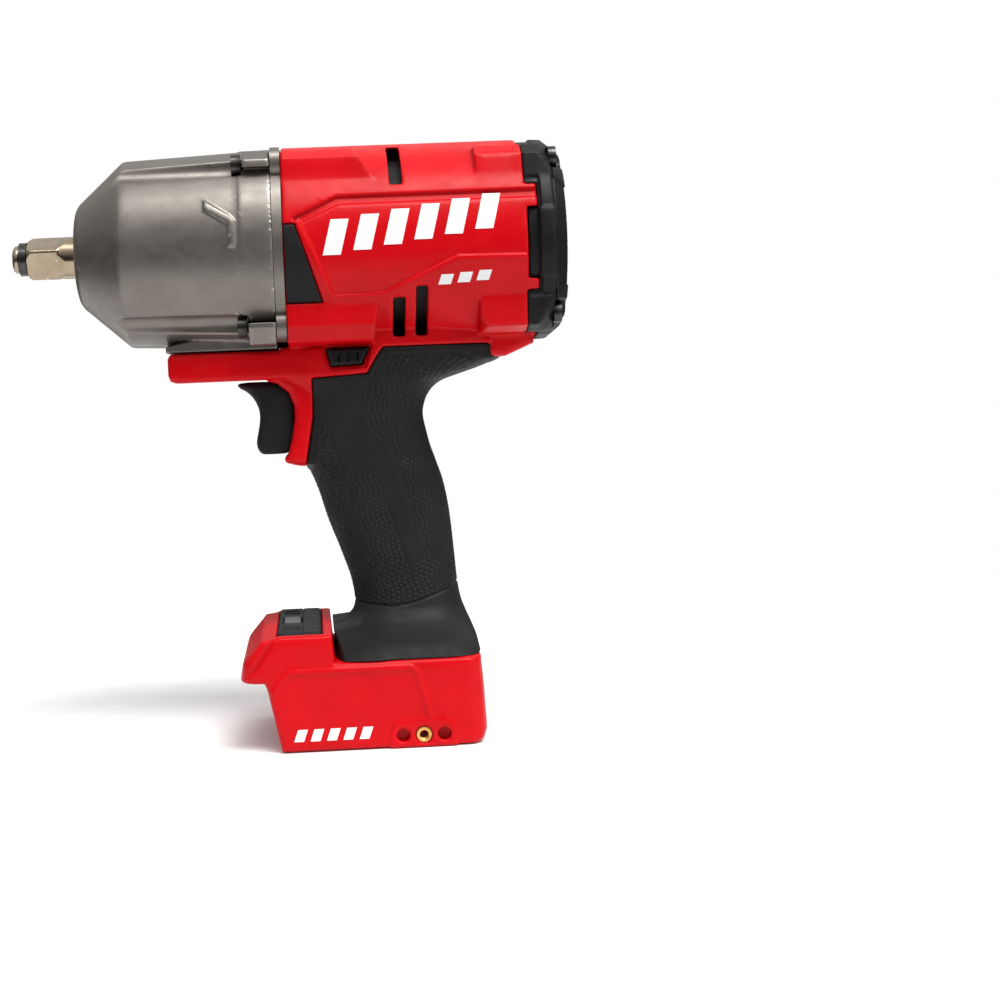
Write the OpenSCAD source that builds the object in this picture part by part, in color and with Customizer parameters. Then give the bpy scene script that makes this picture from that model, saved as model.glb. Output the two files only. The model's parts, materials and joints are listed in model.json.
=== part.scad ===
// Cordless impact wrench with a half-inch square drive, without its battery pack.
// X runs along the drive axis and the nose points to -X. Z is up. The origin is on the drive
// axis, where the back face of a socket seats against the round neck of the anvil.
// Millimetres throughout.

/* [Overall] */
// Drive axis down to the underside of the foot
foot_drop = 187; // [160:1:230]
// Length of the motor barrel, from the gearbox cover to the rear cap
barrel_len = 93.7; // [88:0.1:120]
// Thickness of the moulded walls
wall = 3.2; // [2.4:0.1:3.6]
// Thickness of the rubber grip over the handle
grip_t = 2.2; // [1.4:0.1:3]

/* [Drive] */
// Width of the drive square across its flats
square_w = 12.7; // [9.5:0.1:16]
// Length of the drive square
square_len = 11.5; // [10:0.5:20]
// Angle at which the square rests
square_turn = 29; // [0:1:90]

/* [Impact mechanism] */
// Radius of the cam shaft
shaft_r = 9; // [7.5:0.1:10]
// Wall of the hammer, outside its spring
hammer_wall = 7.6; // [5:0.1:9]
// Length of the hammer's body
hammer_len = 29; // [26:1:36]
// How far the hammer draws back to clear the anvil's ears
hammer_travel = 9.5; // [9.5:0.1:11.5]
// Diameter of the hammer spring's wire
spring_wire = 3; // [2.4:0.1:3.6]

/* [Gears] */
// Module of the planetary gears
gear_m = 1; // [0.95:0.01:1.2]
// Face width of the gears
gear_w = 10; // [8:0.5:13]
// Play between meshing teeth
backlash = 0.15; // [0.1:0.01:0.2]

/* [Fits] */
// Radial clearance of a shaft in its bearing or bush
run_gap = 0.05; // [0.02:0.01:0.09]
// Clearance between pieces that are only placed together
gap = 0.3; // [0.2:0.05:0.5]

/* [Hidden] */
$fn = 64;
fine = 0.1;

// The four screws that hold the gear case, and the four that hold the rear cap
screw_r = 2;
screw_head_r = 4;
boss_r = 6.3;

// Mechanism radii, from the shaft outward
ball_r = 3.5;
cam_wall_r = shaft_r + 4.8;
spring_r = cam_wall_r + spring_wire / 2 + 2;
hammer_r = spring_r + spring_wire / 2 + 2.1 + hammer_wall;
journal_r = square_w * 0.63;
bush_r = journal_r + 3;
ear_r = hammer_r - 6;
ear_half = 22;
lug_half = 25;
lug_lag = ear_half + lug_half + 0.5;
turn_per_mm = 6.37;

// Gear train
sun_z = 12;
planet_z = 18;
ring_z = sun_z + 2 * planet_z;
pressure = 25;
planet_at = gear_m * (sun_z + planet_z) / 2;
ring_r = gear_m * ring_z / 2 + 5;
pin_r = 2.5;
disc_r = gear_m * ring_z / 2 - 3;
carrier_r = planet_at - 2.5;
carrier_bearing_r = carrier_r + 6;

// Gear case and motor barrel
cover_r = max(ring_r + 3, hammer_r + 3);
case_r = cover_r + 6.2;
barrel_r = case_r + 0.4;
barrel_in = barrel_r - wall;
case_screw = [case_r * 0.628, case_r * 0.785];
cap_screw = [barrel_r * 0.596, barrel_r * 0.751];

// Stations along the drive axis, from the nose back
tip_x = -square_len - 5.5;
case_x = 8;
seal_x = case_x + 0.4;
bush_x0 = seal_x + 2;
bush_x1 = case_x + 19;
ear_x0 = bush_x1 + 0.5;
ear_x1 = ear_x0 + 9;
hammer_x0 = ear_x1 + 0.5;
hammer_x1 = hammer_x0 + hammer_len;
disc_x0 = hammer_x1 + hammer_travel + 2.5;
disc_x1 = disc_x0 + 4;
gear_x0 = disc_x1 + 0.5;
gear_x1 = gear_x0 + gear_w;
disc_x2 = gear_x1 + 0.5;
disc_x3 = disc_x2 + 3.5;
carrier_x0 = disc_x3 + 0.5;
carrier_x1 = carrier_x0 + 6;
motor_x0 = carrier_x1 + 2;
motor_x1 = motor_x0 + 7;
flange_x0 = gear_x0 + 0.5;
flange_x1 = flange_x0 + 3.6;
barrel_x0 = flange_x1 + 0.2;
barrel_x1 = barrel_x0 + barrel_len;
fan_x0 = motor_x1 + 6;
fan_x1 = fan_x0 + 12;
stator_x0 = fan_x1 + 6;
stator_x1 = barrel_x1 - 10.5;
rear_bearing_x0 = barrel_x1 - 5.5;
rear_bearing_x1 = rear_bearing_x0 + 6;
cap_x = barrel_x1 + 12;
cam_ball_x = hammer_x0 + 15;
washer_x0 = hammer_x0 + 13.5;
washer_x1 = washer_x0 + 1.5;

// Motor radii
motor_shaft_r = 4;
rear_shaft_r = 3;
rotor_r = 13.5;
stator_in = 14.2;
stator_r = 28.5;

// Handle and foot are drawn for a 187 mm drop and a 38.2 mm gear case, then moved and stretched
drop_at = 187;
foot_top = -154.7;
grip_top = -84;
handle_dx = (barrel_x0 - 86.8) + (barrel_len - 93.7) / 2;
handle_dz = 38.2 - case_r;
foot_dz = drop_at - foot_drop;
stretch = (foot_top + foot_dz - handle_dz - grip_top) / (foot_top - grip_top);
foot_w = 37.5;
bay_w = 33;
bay_roof = -163;
light_x = hammer_x0 + 4.1 - handle_dx;
bar_w = 16.5;
guard_w = 15.4;
trigger_travel = 7;
trigger_w = 10;
button_w = 7;
clip_at = [130.8, -182.5];
clip_pitch = 7.55;
clip_hole_r = 2.45;
insert_r = 3.1;
thread_r = 1.65;

// Handle sections: height, front edge, rear edge, half width, squareness
handle_rings = [
    [foot_top, 99.5, 155, 36.8, 6],
    [-150.5, 101, 154.3, 31.5, 4.5],
    [-146, 103.5, 153, 25, 3.4],
    [-142, 107.3, 151.3, 20.5, 2.8],
    [-137, 108.2, 149.3, 18.2, 2.5],
    [-130, 107.5, 148.2, 17.6, 2.4],
    [-118, 104, 147.4, 17.2, 2.4],
    [-104, 99, 146.3, 17.2, 2.4],
    [-92, 95.5, 144.4, 17.4, 2.4],
    [grip_top, 91.5, 142, 17.5, 2.5],
    [-82.5, 84.5, 141.4, 17.5, 2.6],
    [-76, 86, 139.4, 17.6, 2.6],
    [-68, 87.8, 137.6, 17.8, 2.6],
    [-62, 88, 138, 18, 2.6],
    [-57, 87, 140.2, 18.4, 2.6],
    [-53, 83.5, 144.5, 19, 2.7],
    [-50.3, 79, 153, 19.6, 2.8],
    [-47.5, 78, 161.5, 20.2, 3],
    [-44, 79, 168.3, 20.6, 3],
    [-39.2, 82, 168.6, 21, 3],
    [-38.4, 88.4, 168.6, 21, 3],
    [-30, 90, 166, 20, 3]
];

// Posts for the screws that close the two halves: X, Z
bar_posts = [[53, -44.5], [93, -45]];
handle_posts = [[102, -90], [139, -112], [114, -131]];
top_posts = [[160, -42.5]];
foot_posts = [[81, -156.4], [147, -158]];
post_r = 3.6;
post_screw_r = 1.5;

// ---- Shapes along the drive axis ----

// Stands its children, drawn in XY, on the plane at x, facing back
module on_x(x) {
    translate([x, 0, 0])
        rotate([0, 90, 0])
            children();
}

module rod(r, x0, x1) {
    on_x(x0)
        cylinder(r = r, h = x1 - x0);
}

module ring(r_out, r_in, x0, x1) {
    difference() {
        rod(r_out, x0, x1);
        rod(r_in, x0 - 1, x1 + 1);
    }
}

// A turned solid: the outline is a list of [radius, x]
module turned(outline) {
    rotate([0, 90, 0])
        rotate_extrude()
            polygon(outline);
}

module box(low, high) {
    translate(low)
        cube(high - low);
}

// A plate drawn in the side view as [x, z] and spread across the width
module side_plate(outline, y0, y1) {
    translate([0, y1, 0])
        rotate([90, 0, 0])
            linear_extrude(y1 - y0)
                polygon(outline);
}

// Four copies at the corners given by [y, z]
module at_corners(corner) {
    for (sy = [-1, 1], sz = [-1, 1])
        translate([0, sy * corner[0], sz * corner[1]])
            children();
}

// A slice of a disc around the X axis, for ears and lugs
module sector(half, r_in, r_out, x0, x1) {
    reach = r_out / cos(half) + 1;
    intersection() {
        ring(r_out, r_in, x0, x1);
        on_x(x0 - 1)
            linear_extrude(x1 - x0 + 2)
                polygon([
                    [0, 0],
                    reach * [-sin(half), cos(half)],
                    reach * [sin(half), cos(half)]
                ]);
    }
}

module ball_at(x, r_at, turn, r) {
    rotate([turn, 0, 0])
        translate([x, 0, r_at])
            sphere(r);
}

// A bearing: two races with a groove, and their balls
module ball_bearing(r_in, r_out, x0, x1, count) {
    mid_r = (r_in + r_out) / 2;
    ball = (r_out - r_in) * 0.26;
    mid_x = (x0 + x1) / 2;
    split = (r_out - r_in) * 0.13;
    difference() {
        union() {
            ring(r_out, mid_r + split, x0, x1);
            ring(mid_r - split, r_in, x0, x1);
        }
        rotate([0, 90, 0])
            rotate_extrude()
                translate([mid_r, mid_x])
                    circle(ball + fine);
    }
    for (i = [0 : count - 1])
        ball_at(mid_x, mid_r, i * 360 / count, ball);
}

// ---- Gear teeth ----

function inv_deg(a) = tan(a) * 180 / PI - a;

function tooth_half(z, r, slack) =
    let (base = gear_m * z / 2 * cos(pressure))
    90 / z + slack + inv_deg(pressure) - inv_deg(acos(min(1, base / r)));

function polar(r, a) = r * [cos(a), sin(a)];

function tooth_radii(r0, r1) = [for (i = [0 : 4]) r0 + (r1 - r0) * i / 4];

// Outline of a gear with z teeth between a root and a tip radius; slack widens the teeth
function gear_outline(z, root, tip, slack) =
    let (radii = tooth_radii(root, tip))
    [for (i = [0 : z - 1]) each concat(
        [for (k = [0 : 4]) polar(radii[k], i * 360 / z - tooth_half(z, radii[k], slack))],
        [for (k = [4 : -1 : 0]) polar(radii[k], i * 360 / z + tooth_half(z, radii[k], slack))]
    )];

function play_deg(z) = -backlash / 2 / (gear_m * z / 2) * 180 / PI;

module spur_gear(z, width) {
    pitch_r = gear_m * z / 2;
    linear_extrude(width)
        polygon(gear_outline(z, pitch_r - 1.2 * gear_m, pitch_r + 0.95 * gear_m, play_deg(z)));
}

// ---- Lofts and coils ----

function super_point(a, b, n, t) = [
    a * sign(cos(t)) * pow(abs(cos(t)), 2 / n),
    b * sign(sin(t)) * pow(abs(sin(t)), 2 / n)
];

// Joins equal rings of points, the lowest first, into a closed solid
module skin(points, sides) {
    rows = len(points) / sides;
    polyhedron(
        points = points,
        faces = concat(
            [[for (i = [0 : sides - 1]) i]],
            [[for (i = [sides - 1 : -1 : 0]) (rows - 1) * sides + i]],
            [for (k = [0 : rows - 2], i = [0 : sides - 1])
                let (next = (i + 1) % sides)
                [k * sides + i, (k + 1) * sides + i, (k + 1) * sides + next, k * sides + next]]
        )
    );
}

function stretched(z) = z > grip_top ? z : grip_top + (z - grip_top) * stretch;

// The handle, drawn in by the inset all round
module handle_loft(inset) {
    sides = 28;
    points = [for (g = handle_rings, i = [0 : sides - 1])
        let (
            a = (g[2] - g[1]) / 2 - inset,
            p = super_point(a, g[3] - inset, g[4], (i + 0.5) * 360 / sides)
        )
        [(g[1] + g[2]) / 2 + p[0], p[1], stretched(g[0])]];
    skin(points, sides);
}

// A wire that runs down through points [x, y, z], the lowest first
module wire(route, r) {
    sides = 8;
    skin([for (p = route, i = [0 : sides - 1]) p + [r * cos(i * 45), r * sin(i * 45), 0]], sides);
}

// Axial place of a coil at turn t of n, with closed end turns
function coil_x(t, n, wire_d, span) =
    let (open = n - 2, free = span - 2 * wire_d * 1.02)
    t < 1 ? t * wire_d * 1.02
    : t > n - 1 ? span - (n - t) * wire_d * 1.02
    : wire_d * 1.02 + (t - 1) / open * free;

// A compression spring around the X axis, from x0 to x1
module coil_spring(r, wire_d, x0, x1, turns) {
    sides = 8;
    steps = 14;
    last = turns * steps;
    span = x1 - x0 - wire_d;
    points = [for (k = [0 : last], i = [0 : sides - 1])
        let (
            t = k * 360 / steps,
            rr = r + wire_d / 2 * cos(i * 45),
            x = x0 + wire_d / 2 + coil_x(k / steps, turns, wire_d, span)
        )
        [x + wire_d / 2 * sin(i * 45), rr * cos(t), rr * sin(t)]];
    skin(points, sides);
}

// ---- Places ----

module at_handle() {
    translate([handle_dx, 0, handle_dz])
        children();
}

module at_foot() {
    translate([handle_dx, 0, foot_dz])
        children();
}

module half(side) {
    box([-100, side < 0 ? -100 : 0, -400], [400, side < 0 ? 0 : 100, 200]);
}

// ---- Drive end ----

module anvil() {
    color("silver")
        difference() {
            union() {
                intersection() {
                    rotate([square_turn, 0, 0])
                        box([tip_x, -square_w / 2, -square_w / 2], [fine, square_w / 2, square_w / 2]);
                    turned([
                        [0, -square_len],
                        [square_w * 0.52, -square_len],
                        [journal_r, -square_len + 2],
                        [journal_r, fine],
                        [0, fine]
                    ]);
                }
                rod(square_w * 0.33, -square_len - 3.2, -square_len + 1);
                turned([
                    [0, tip_x],
                    [square_w * 0.35, tip_x],
                    [square_w * 0.425, tip_x + 0.9],
                    [square_w * 0.425, -square_len - 3],
                    [0, -square_len - 3]
                ]);
                rod(journal_r, 0, ear_x0 + 1);
                rod(bush_r - 0.2, ear_x0, ear_x1);
                for (turn = [0, 180])
                    rotate([turn, 0, 0])
                        sector(ear_half, bush_r - 2, ear_r, ear_x0, ear_x1);
            }
            rod(journal_r - 3 + run_gap, ear_x0 - 3, ear_x1 + 1);
        }
}

module friction_ring() {
    color("dimgray")
        ring(square_w * 0.5, square_w * 0.42, -square_len - 2.9, -square_len - 0.1);
}

module friction_o_ring() {
    color("black")
        rotate([0, 90, 0])
            rotate_extrude()
                translate([square_w * 0.375, -square_len - 1.5])
                    circle(square_w * 0.036);
}

module nose_bushing() {
    color("peru")
        ring(bush_r, journal_r + run_gap, bush_x0, bush_x1);
}

module nose_seal() {
    color("black")
        ring(bush_r, journal_r + 0.1, seal_x, bush_x0 - 0.2);
}

module gear_case() {
    shoulder_x = case_x + 19;
    color("gray")
        difference() {
            union() {
                turned([
                    [bush_r - 0.8, case_x],
                    [17, case_x],
                    [19, case_x + 0.5],
                    [20, case_x + 1.5],
                    [case_r - 3.4, shoulder_x - 1],
                    [case_r - 2.4, shoulder_x],
                    [case_r, flange_x0 - fine],
                    [cover_r + gap, flange_x0 - fine],
                    [cover_r + gap, disc_x0 - 2.5],
                    [hammer_r + 1.5, disc_x0 - 2.5],
                    [hammer_r + 1.5, shoulder_x],
                    [bush_r, shoulder_x],
                    [bush_r, seal_x - 0.1],
                    [bush_r - 0.8, seal_x - 0.1]
                ]);
                difference() {
                    union() {
                        at_corners(case_screw)
                            rod(boss_r, flange_x0 - 11, flange_x0 - fine);
                        box([hammer_x0 + 3, -15, -case_r - 0.4], [flange_x0 - fine, 15, -case_r + 6]);
                        rotate([28, 0, 0])
                            box([hammer_x1 - 9, -case_r - 0.8, -7], [hammer_x1 + 2, -case_r + 4, 7]);
                    }
                    rod(cover_r + gap + 1, 0, flange_x0 + 1);
                }
            }
            at_corners(case_screw) {
                rod(screw_r + 0.2, 0, barrel_x0);
                rod(boss_r - 1, shoulder_x - 2, flange_x0 - 11);
            }
        }
}

module gear_case_screws() {
    head_x = flange_x0 - 11 - 3.4;
    color("dimgray")
        at_corners(case_screw)
            difference() {
                union() {
                    rod(screw_head_r, head_x, flange_x0 - 11);
                    rod(screw_r, flange_x0 - 11.2, barrel_x0 + 22);
                }
                on_x(head_x - 1)
                    cylinder(r = 1.9, h = 3, $fn = 6);
            }
}

// ---- Gearbox ----

module gearbox_cover() {
    color("darkslategray")
        difference() {
            union() {
                turned([
                    [ring_r, disc_x0 - 2],
                    [cover_r, disc_x0 - 2],
                    [cover_r, flange_x0],
                    [case_r - 0.2, flange_x0],
                    [case_r - 0.2, flange_x1],
                    [cover_r + 1, flange_x1],
                    [cover_r + 1, disc_x3 + 1],
                    [carrier_bearing_r + 5, carrier_x1 + 1],
                    [14.5, carrier_x1 + 1],
                    [14.5, motor_x1],
                    [11, motor_x1],
                    [11, motor_x0],
                    [8.5, motor_x0],
                    [8.5, carrier_x1],
                    [carrier_bearing_r, carrier_x1],
                    [carrier_bearing_r, carrier_x0 - 0.4],
                    [disc_r + 1, carrier_x0 - 0.4],
                    [disc_r + 1, gear_x1 + 0.8],
                    [ring_r, gear_x1 + 0.8]
                ]);
                difference() {
                    at_corners(case_screw)
                        rod(boss_r - 0.2, flange_x0, flange_x1);
                    rod(cover_r, 0, barrel_x1);
                }
            }
            at_corners(case_screw)
                rod(screw_r + 0.2, 0, barrel_x1);
        }
}

module ring_gear() {
    pitch_r = gear_m * ring_z / 2;
    color("slategray")
        on_x(gear_x0)
            difference() {
                cylinder(r = ring_r - 0.02, h = gear_w);
                translate([0, 0, -1])
                    rotate(180 / ring_z)
                        linear_extrude(gear_w + 2)
                            polygon(gear_outline(
                                ring_z, pitch_r - 0.95 * gear_m, pitch_r + 1.2 * gear_m, -play_deg(ring_z)
                            ));
            }
}

module planet_gear(index) {
    color("lightsteelblue")
        on_x(gear_x0 + 0.2)
            rotate(index * 120)
                translate([planet_at, 0, 0])
                    difference() {
                        rotate(180 / planet_z)
                            spur_gear(planet_z, gear_w - 0.4);
                        translate([0, 0, -1])
                            cylinder(r = pin_r + run_gap, h = gear_w + 2);
                    }
}

module planet_pins() {
    color("silver")
        for (i = [0 : 2])
            on_x(disc_x0 + 0.5)
                rotate(i * 120)
                    translate([planet_at, 0, 0])
                        cylinder(r = pin_r, h = disc_x3 - disc_x0 - 1);
}

// Cam shaft and planet carrier in one piece, as forged
module cam_shaft() {
    nose_r = journal_r - 3;
    web_at = disc_r - 3.3;
    color("gainsboro")
        difference() {
            union() {
                rod(nose_r, ear_x0 - 2.4, hammer_x0 + 1);
                rod(shaft_r, ear_x1 + 0.7, disc_x0 + 1);
                rod(disc_r, disc_x0, disc_x1);
                rod(disc_r, disc_x2, disc_x3);
                rod(carrier_r, disc_x3 - fine, carrier_x1);
                for (i = [0 : 2])
                    on_x(disc_x1 - fine)
                        rotate(60 + i * 120)
                            translate([web_at, 0, 0])
                                cylinder(r = 3, h = gear_w + 1.2);
            }
            rod(gear_m * sun_z / 2 + gear_m + 0.8, disc_x1 - 1.5, carrier_x1 + 1);
            for (i = [0 : 2])
                on_x(disc_x0 + 0.5)
                    rotate(i * 120)
                        translate([planet_at, 0, 0])
                            cylinder(r = pin_r, h = 40);
            cam_groove(1, ball_r + 0.05, hammer_travel / 2, 4);
        }
}

// The V-shaped ball track: both branches of both grooves, toward +X or -X
module cam_groove(way, r, depth, steps) {
    for (side = [90, 270], branch = [-1, 1], i = [branch < 0 ? 0 : 1 : steps])
        ball_at(
            cam_ball_x + way * depth * i / steps, shaft_r + 0.2,
            side + branch * turn_per_mm * depth * i / steps, r
        );
}

module cam_balls() {
    color("white")
        for (side = [90, 270])
            ball_at(cam_ball_x, shaft_r + 0.2, side, ball_r);
}

module hammer() {
    color("darkgray")
        difference() {
            union() {
                rod(hammer_r, hammer_x0, hammer_x1);
                for (turn = [0, 180])
                    rotate([turn + lug_lag, 0, 0])
                        sector(lug_half, bush_r + 0.8, hammer_r - 0.6, ear_x0 + 0.8, hammer_x0 + fine);
            }
            rod(shaft_r + 0.08, 0, hammer_x1 + 1);
            difference() {
                rod(hammer_r - hammer_wall, washer_x0 - 2.6, hammer_x1 + 1);
                rod(cam_wall_r, 0, hammer_x1 + 1);
            }
            cam_groove(-1, ball_r + 0.5, hammer_travel, 4);
        }
}

module thrust_balls() {
    color("white")
        for (i = [0 : 15])
            ball_at(washer_x0 - 1.3, spring_r, i * 22.5, 1.2);
}

module spring_washer() {
    color("silver")
        ring(hammer_r - hammer_wall - gap, cam_wall_r + gap, washer_x0, washer_x1);
}

module hammer_spring() {
    color("steelblue")
        coil_spring(spring_r, spring_wire, washer_x1 + 0.05, disc_x0 - 0.05, 5);
}

module carrier_bearing() {
    color("silver")
        ball_bearing(carrier_r + run_gap, carrier_bearing_r, carrier_x0, carrier_x1, 18);
}

// ---- Motor ----

module front_motor_bearing() {
    color("silver")
        ball_bearing(motor_shaft_r + run_gap, 11, motor_x0, motor_x1, 7);
}

module rear_motor_bearing() {
    color("silver")
        ball_bearing(rear_shaft_r + run_gap, 9.5, rear_bearing_x0, rear_bearing_x1, 7);
}

module rotor_shaft() {
    color("gainsboro")
        union() {
            on_x(gear_x0 + 0.3)
                spur_gear(sun_z, gear_w + 1);
            rod(motor_shaft_r, gear_x1, rear_bearing_x0 - 0.3);
            rod(rear_shaft_r, rear_bearing_x0 - 1, rear_bearing_x1 + 1);
        }
}

module magnet_slots(w, t) {
    for (turn = [0 : 90 : 270])
        rotate([turn, 0, 0])
            box([stator_x0 + 0.5, -w / 2, 9.2 - t / 2], [stator_x1 - 0.5, w / 2, 9.2 + t / 2]);
}

module rotor_core() {
    color("dimgray")
        difference() {
            ring(rotor_r, motor_shaft_r, stator_x0, stator_x1);
            magnet_slots(11.2, 2.6);
        }
}

module rotor_magnets() {
    color("lightgray")
        magnet_slots(11, 2.4);
}

module stator_core() {
    color("slategray")
        union() {
            ring(stator_r, stator_r - 4.2, stator_x0, stator_x1);
            for (turn = [0 : 60 : 300])
                rotate([turn, 0, 0]) {
                    box([stator_x0, -3.5, stator_in + 1], [stator_x1, 3.5, stator_r - 2]);
                    sector(23, stator_in, stator_in + 2, stator_x0, stator_x1);
                }
        }
}

module stator_coils() {
    color("chocolate")
        for (turn = [0 : 60 : 300])
            rotate([turn, 0, 0])
                difference() {
                    union() {
                        box([stator_x0 - 3.4, -6.4, 16.8], [stator_x1 + 3.4, 6.4, 22.8]);
                        box([stator_x0 - 2, -7.6, 18.4], [stator_x1 + 2, 7.6, 22.8]);
                    }
                    box([stator_x0 - 0.3, -3.7, 16], [stator_x1 + 0.3, 3.7, 25]);
                }
}

module sensor_board() {
    color("darkgreen")
        union() {
            ring(26.5, 12, stator_x0 - 5.4, stator_x0 - 4.2);
            for (turn = [20, 140, 260])
                rotate([turn, 0, 0])
                    box([stator_x0 - 4.3, -2, 13], [stator_x0 - 3.5, 2, 16]);
        }
}

module fan() {
    blades = 13;
    color("darkslategray")
        difference() {
            union() {
                turned([
                    [motor_shaft_r, fan_x0],
                    [8, fan_x0],
                    [10, fan_x1 - 3],
                    [28.5, fan_x1 - 1.5],
                    [28.5, fan_x1],
                    [motor_shaft_r, fan_x1]
                ]);
                for (i = [0 : blades - 1])
                    rotate([i * 360 / blades, 0, 0])
                        box([fan_x0 + 2, -0.7, 9], [fan_x1 - 1, 0.7, 28]);
            }
            rod(motor_shaft_r, fan_x0 - 1, fan_x1 + 1);
        }
}

// Three wires from the stator down to the controller in the foot
module motor_leads() {
    color("orange")
        for (i = [-1, 0, 1])
            wire([
                [133 + handle_dx, i * 4, foot_top - 0.2 + foot_dz],
                [132 + handle_dx, i * 3.6, -134 + foot_dz],
                [129.5 + handle_dx, i * 3.2, -96 + handle_dz],
                [129 + handle_dx, i * 3.2, -62 + handle_dz],
                [stator_x0 - 2.6, i * 3.4, -44 + handle_dz],
                [stator_x0 - 2, i * 3.6, -25]
            ], 1.2);
}

// ---- Housing ----

// Outline of the black side insert behind the gear case, from the side
module bumper_prism() {
    side_plate([
        [barrel_x0 - 1, 6.4],
        [barrel_x0 + 4.4, 6.4],
        [barrel_x0 + 13.8, -22.4],
        [barrel_x0 - 1, -22.4]
    ], -60, 60);
}

module bumper(side) {
    color("black")
        intersection() {
            ring(barrel_r + 0.1, barrel_r - 1.4, barrel_x0, barrel_x0 + 20);
            bumper_prism();
            half(side);
        }
}

module left_bumper() bumper(-1);

module right_bumper() bumper(1);

// Everything the housing fills on the outside, before it is hollowed
module barrel_block() {
    rod(barrel_r, barrel_x0, barrel_x1);
    at_corners(case_screw)
        rod(boss_r, barrel_x0, barrel_x0 + 33);
    at_corners(cap_screw)
        rod(boss_r, barrel_x1 - 19, barrel_x1);
}

module light_bar() {
    side_plate([
        [light_x, -40.5],
        [light_x + 1, -38.9],
        [88.5, -38.9],
        [88.5, -34],
        [100, -34],
        [100, -50],
        [light_x + 3, -50],
        [light_x + 0.6, -48.4],
        [light_x, -46]
    ], -bar_w, bar_w);
}

function foot_outline() = [
    [79, -143.4],
    [76.5, -145],
    [72.5, -145.5],
    [70.5, -148],
    [65, -154],
    [63, -160],
    [64, -161.3],
    [73, -161.5],
    [73.8, -163.5],
    [78.5, -drop_at],
    [150, -drop_at],
    [154, -186],
    [156, -182.5],
    [155, -168],
    [153.5, foot_top],
    [99.3, foot_top],
    [98.5, -143.4]
];

// Where the rear of the barrel runs down into the handle
module keel() {
    side_plate([
        [150, -34],
        [180.3, -34],
        [180.3, -40],
        [169.3, -44.6],
        [168.1, -44.6],
        [168.1, -39.2],
        [150, -39.2]
    ], -14, 14);
}

// The strip behind the trigger that ends in a lip under it
module guard_strip() {
    side_plate([
        [78, -49.5],
        [78.5, -50.6],
        [82, -51.6],
        [86, -55],
        [88, -60],
        [88, -65],
        [86.6, -73],
        [84.8, -79],
        [83.4, -80.4],
        [84.2, -81.8],
        [88, -82.9],
        [96.4, grip_top],
        [96.4, -49.5]
    ], -guard_w, guard_w);
}

// The foot, with its corners rounded in plan
module foot_block() {
    corner = 9;
    intersection() {
        side_plate(foot_outline(), -foot_w, foot_w);
        translate([0, 0, -drop_at - 1])
            linear_extrude(60) {
                translate([60, -foot_w])
                    square([96 - corner, 2 * foot_w]);
                translate([60, -foot_w + corner])
                    square([96, 2 * (foot_w - corner)]);
                for (side = [-1, 1])
                    translate([156 - corner, side * (foot_w - corner)])
                        circle(corner);
            }
    }
}

// The part of the handle that the rubber covers, from the side
module grip_zone() {
    side_plate([
        [60, foot_top + foot_dz - handle_dz],
        [60, grip_top],
        [96.5, grip_top],
        [96.5, -50],
        [116, -49],
        [122.5, -39.3],
        [168, -39.3],
        [168, -47],
        [175, -47],
        [175, foot_top + foot_dz - handle_dz]
    ], -60, 60);
}

module trigger_pocket() {
    at_handle()
        box([58, -trigger_w - 0.4, -79.2], [98, trigger_w + 0.4, -50]);
}

module lever_slot() {
    at_handle()
        box([100.4, -40, -46.2], [117.6, 40, -38.8]);
}

module posts_at(list) {
    for (p = list)
        translate([p[0], 0, p[1]])
            rotate([90, 0, 0])
                children();
}

module all_posts() {
    at_handle() {
        posts_at(bar_posts)
            children();
        posts_at(top_posts)
            children();
        posts_at([for (p = handle_posts) [p[0], stretched(p[1])]])
            children();
    }
    at_foot()
        posts_at(foot_posts)
            children();
}

// Screw holes with the head's counterbore on the right-hand side
module post_holes() {
    all_posts() {
        translate([0, 0, -9])
            cylinder(r = post_screw_r + 0.15, h = 18.6);
        translate([0, 0, -60])
            cylinder(r = 3.3, h = 53);
    }
}

// Side vents around the fan, and the two narrow ones ahead of the stator
module barrel_vents() {
    for (side = [-1, 1], z = [20, -34])
        box(
            [fan_x1 - 3.5, side < 0 ? -60 : 8, z],
            [fan_x1 + 1.2, side < 0 ? -8 : 60, z + (z > 0 ? 16 : 15)]
        );
    for (side = [-1, 1])
        box(
            [fan_x1 + 5, side < 0 ? -60 : 8, -34],
            [fan_x1 + 9.2, side < 0 ? -8 : 60, -18]
        );
}

module handle_shell() {
    difference() {
        handle_loft(0);
        difference() {
            grip_zone();
            handle_loft(grip_t);
        }
    }
}

module battery_bay() {
    at_foot() {
        difference() {
            box([60, -bay_w, -drop_at - 1], [146, bay_w, bay_roof]);
            for (side = [-1, 1])
                box(
                    [80, side < 0 ? -bay_w - 1 : 29, -183],
                    [147, side < 0 ? -29 : bay_w + 1, -179]
                );
        }
    }
}

module electronics_bay() {
    at_foot() {
        box([77, -bay_w, bay_roof + 2], [150, bay_w, foot_top + 0.2]);
        box([77, -bay_w, bay_roof + 2], [98, bay_w, -147.9]);
        box([78, -33.5, -148], [95, 33.5, -140]);
    }
}

module clip_holes(r_insert, depth) {
    at_foot()
        for (side = [-1, 1]) {
            translate([clip_at[0], side * (foot_w - depth / 2), clip_at[1]])
                rotate([90, 0, 0])
                    cylinder(r = r_insert, h = depth + 2 * fine, center = true);
            for (shift = [-clip_pitch, clip_pitch])
                translate([clip_at[0] + shift, side * (foot_w - 1.75), clip_at[1]])
                    rotate([90, 0, 0])
                        cylinder(r = clip_hole_r, h = 3.5 + fine, center = true);
        }
}

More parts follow.
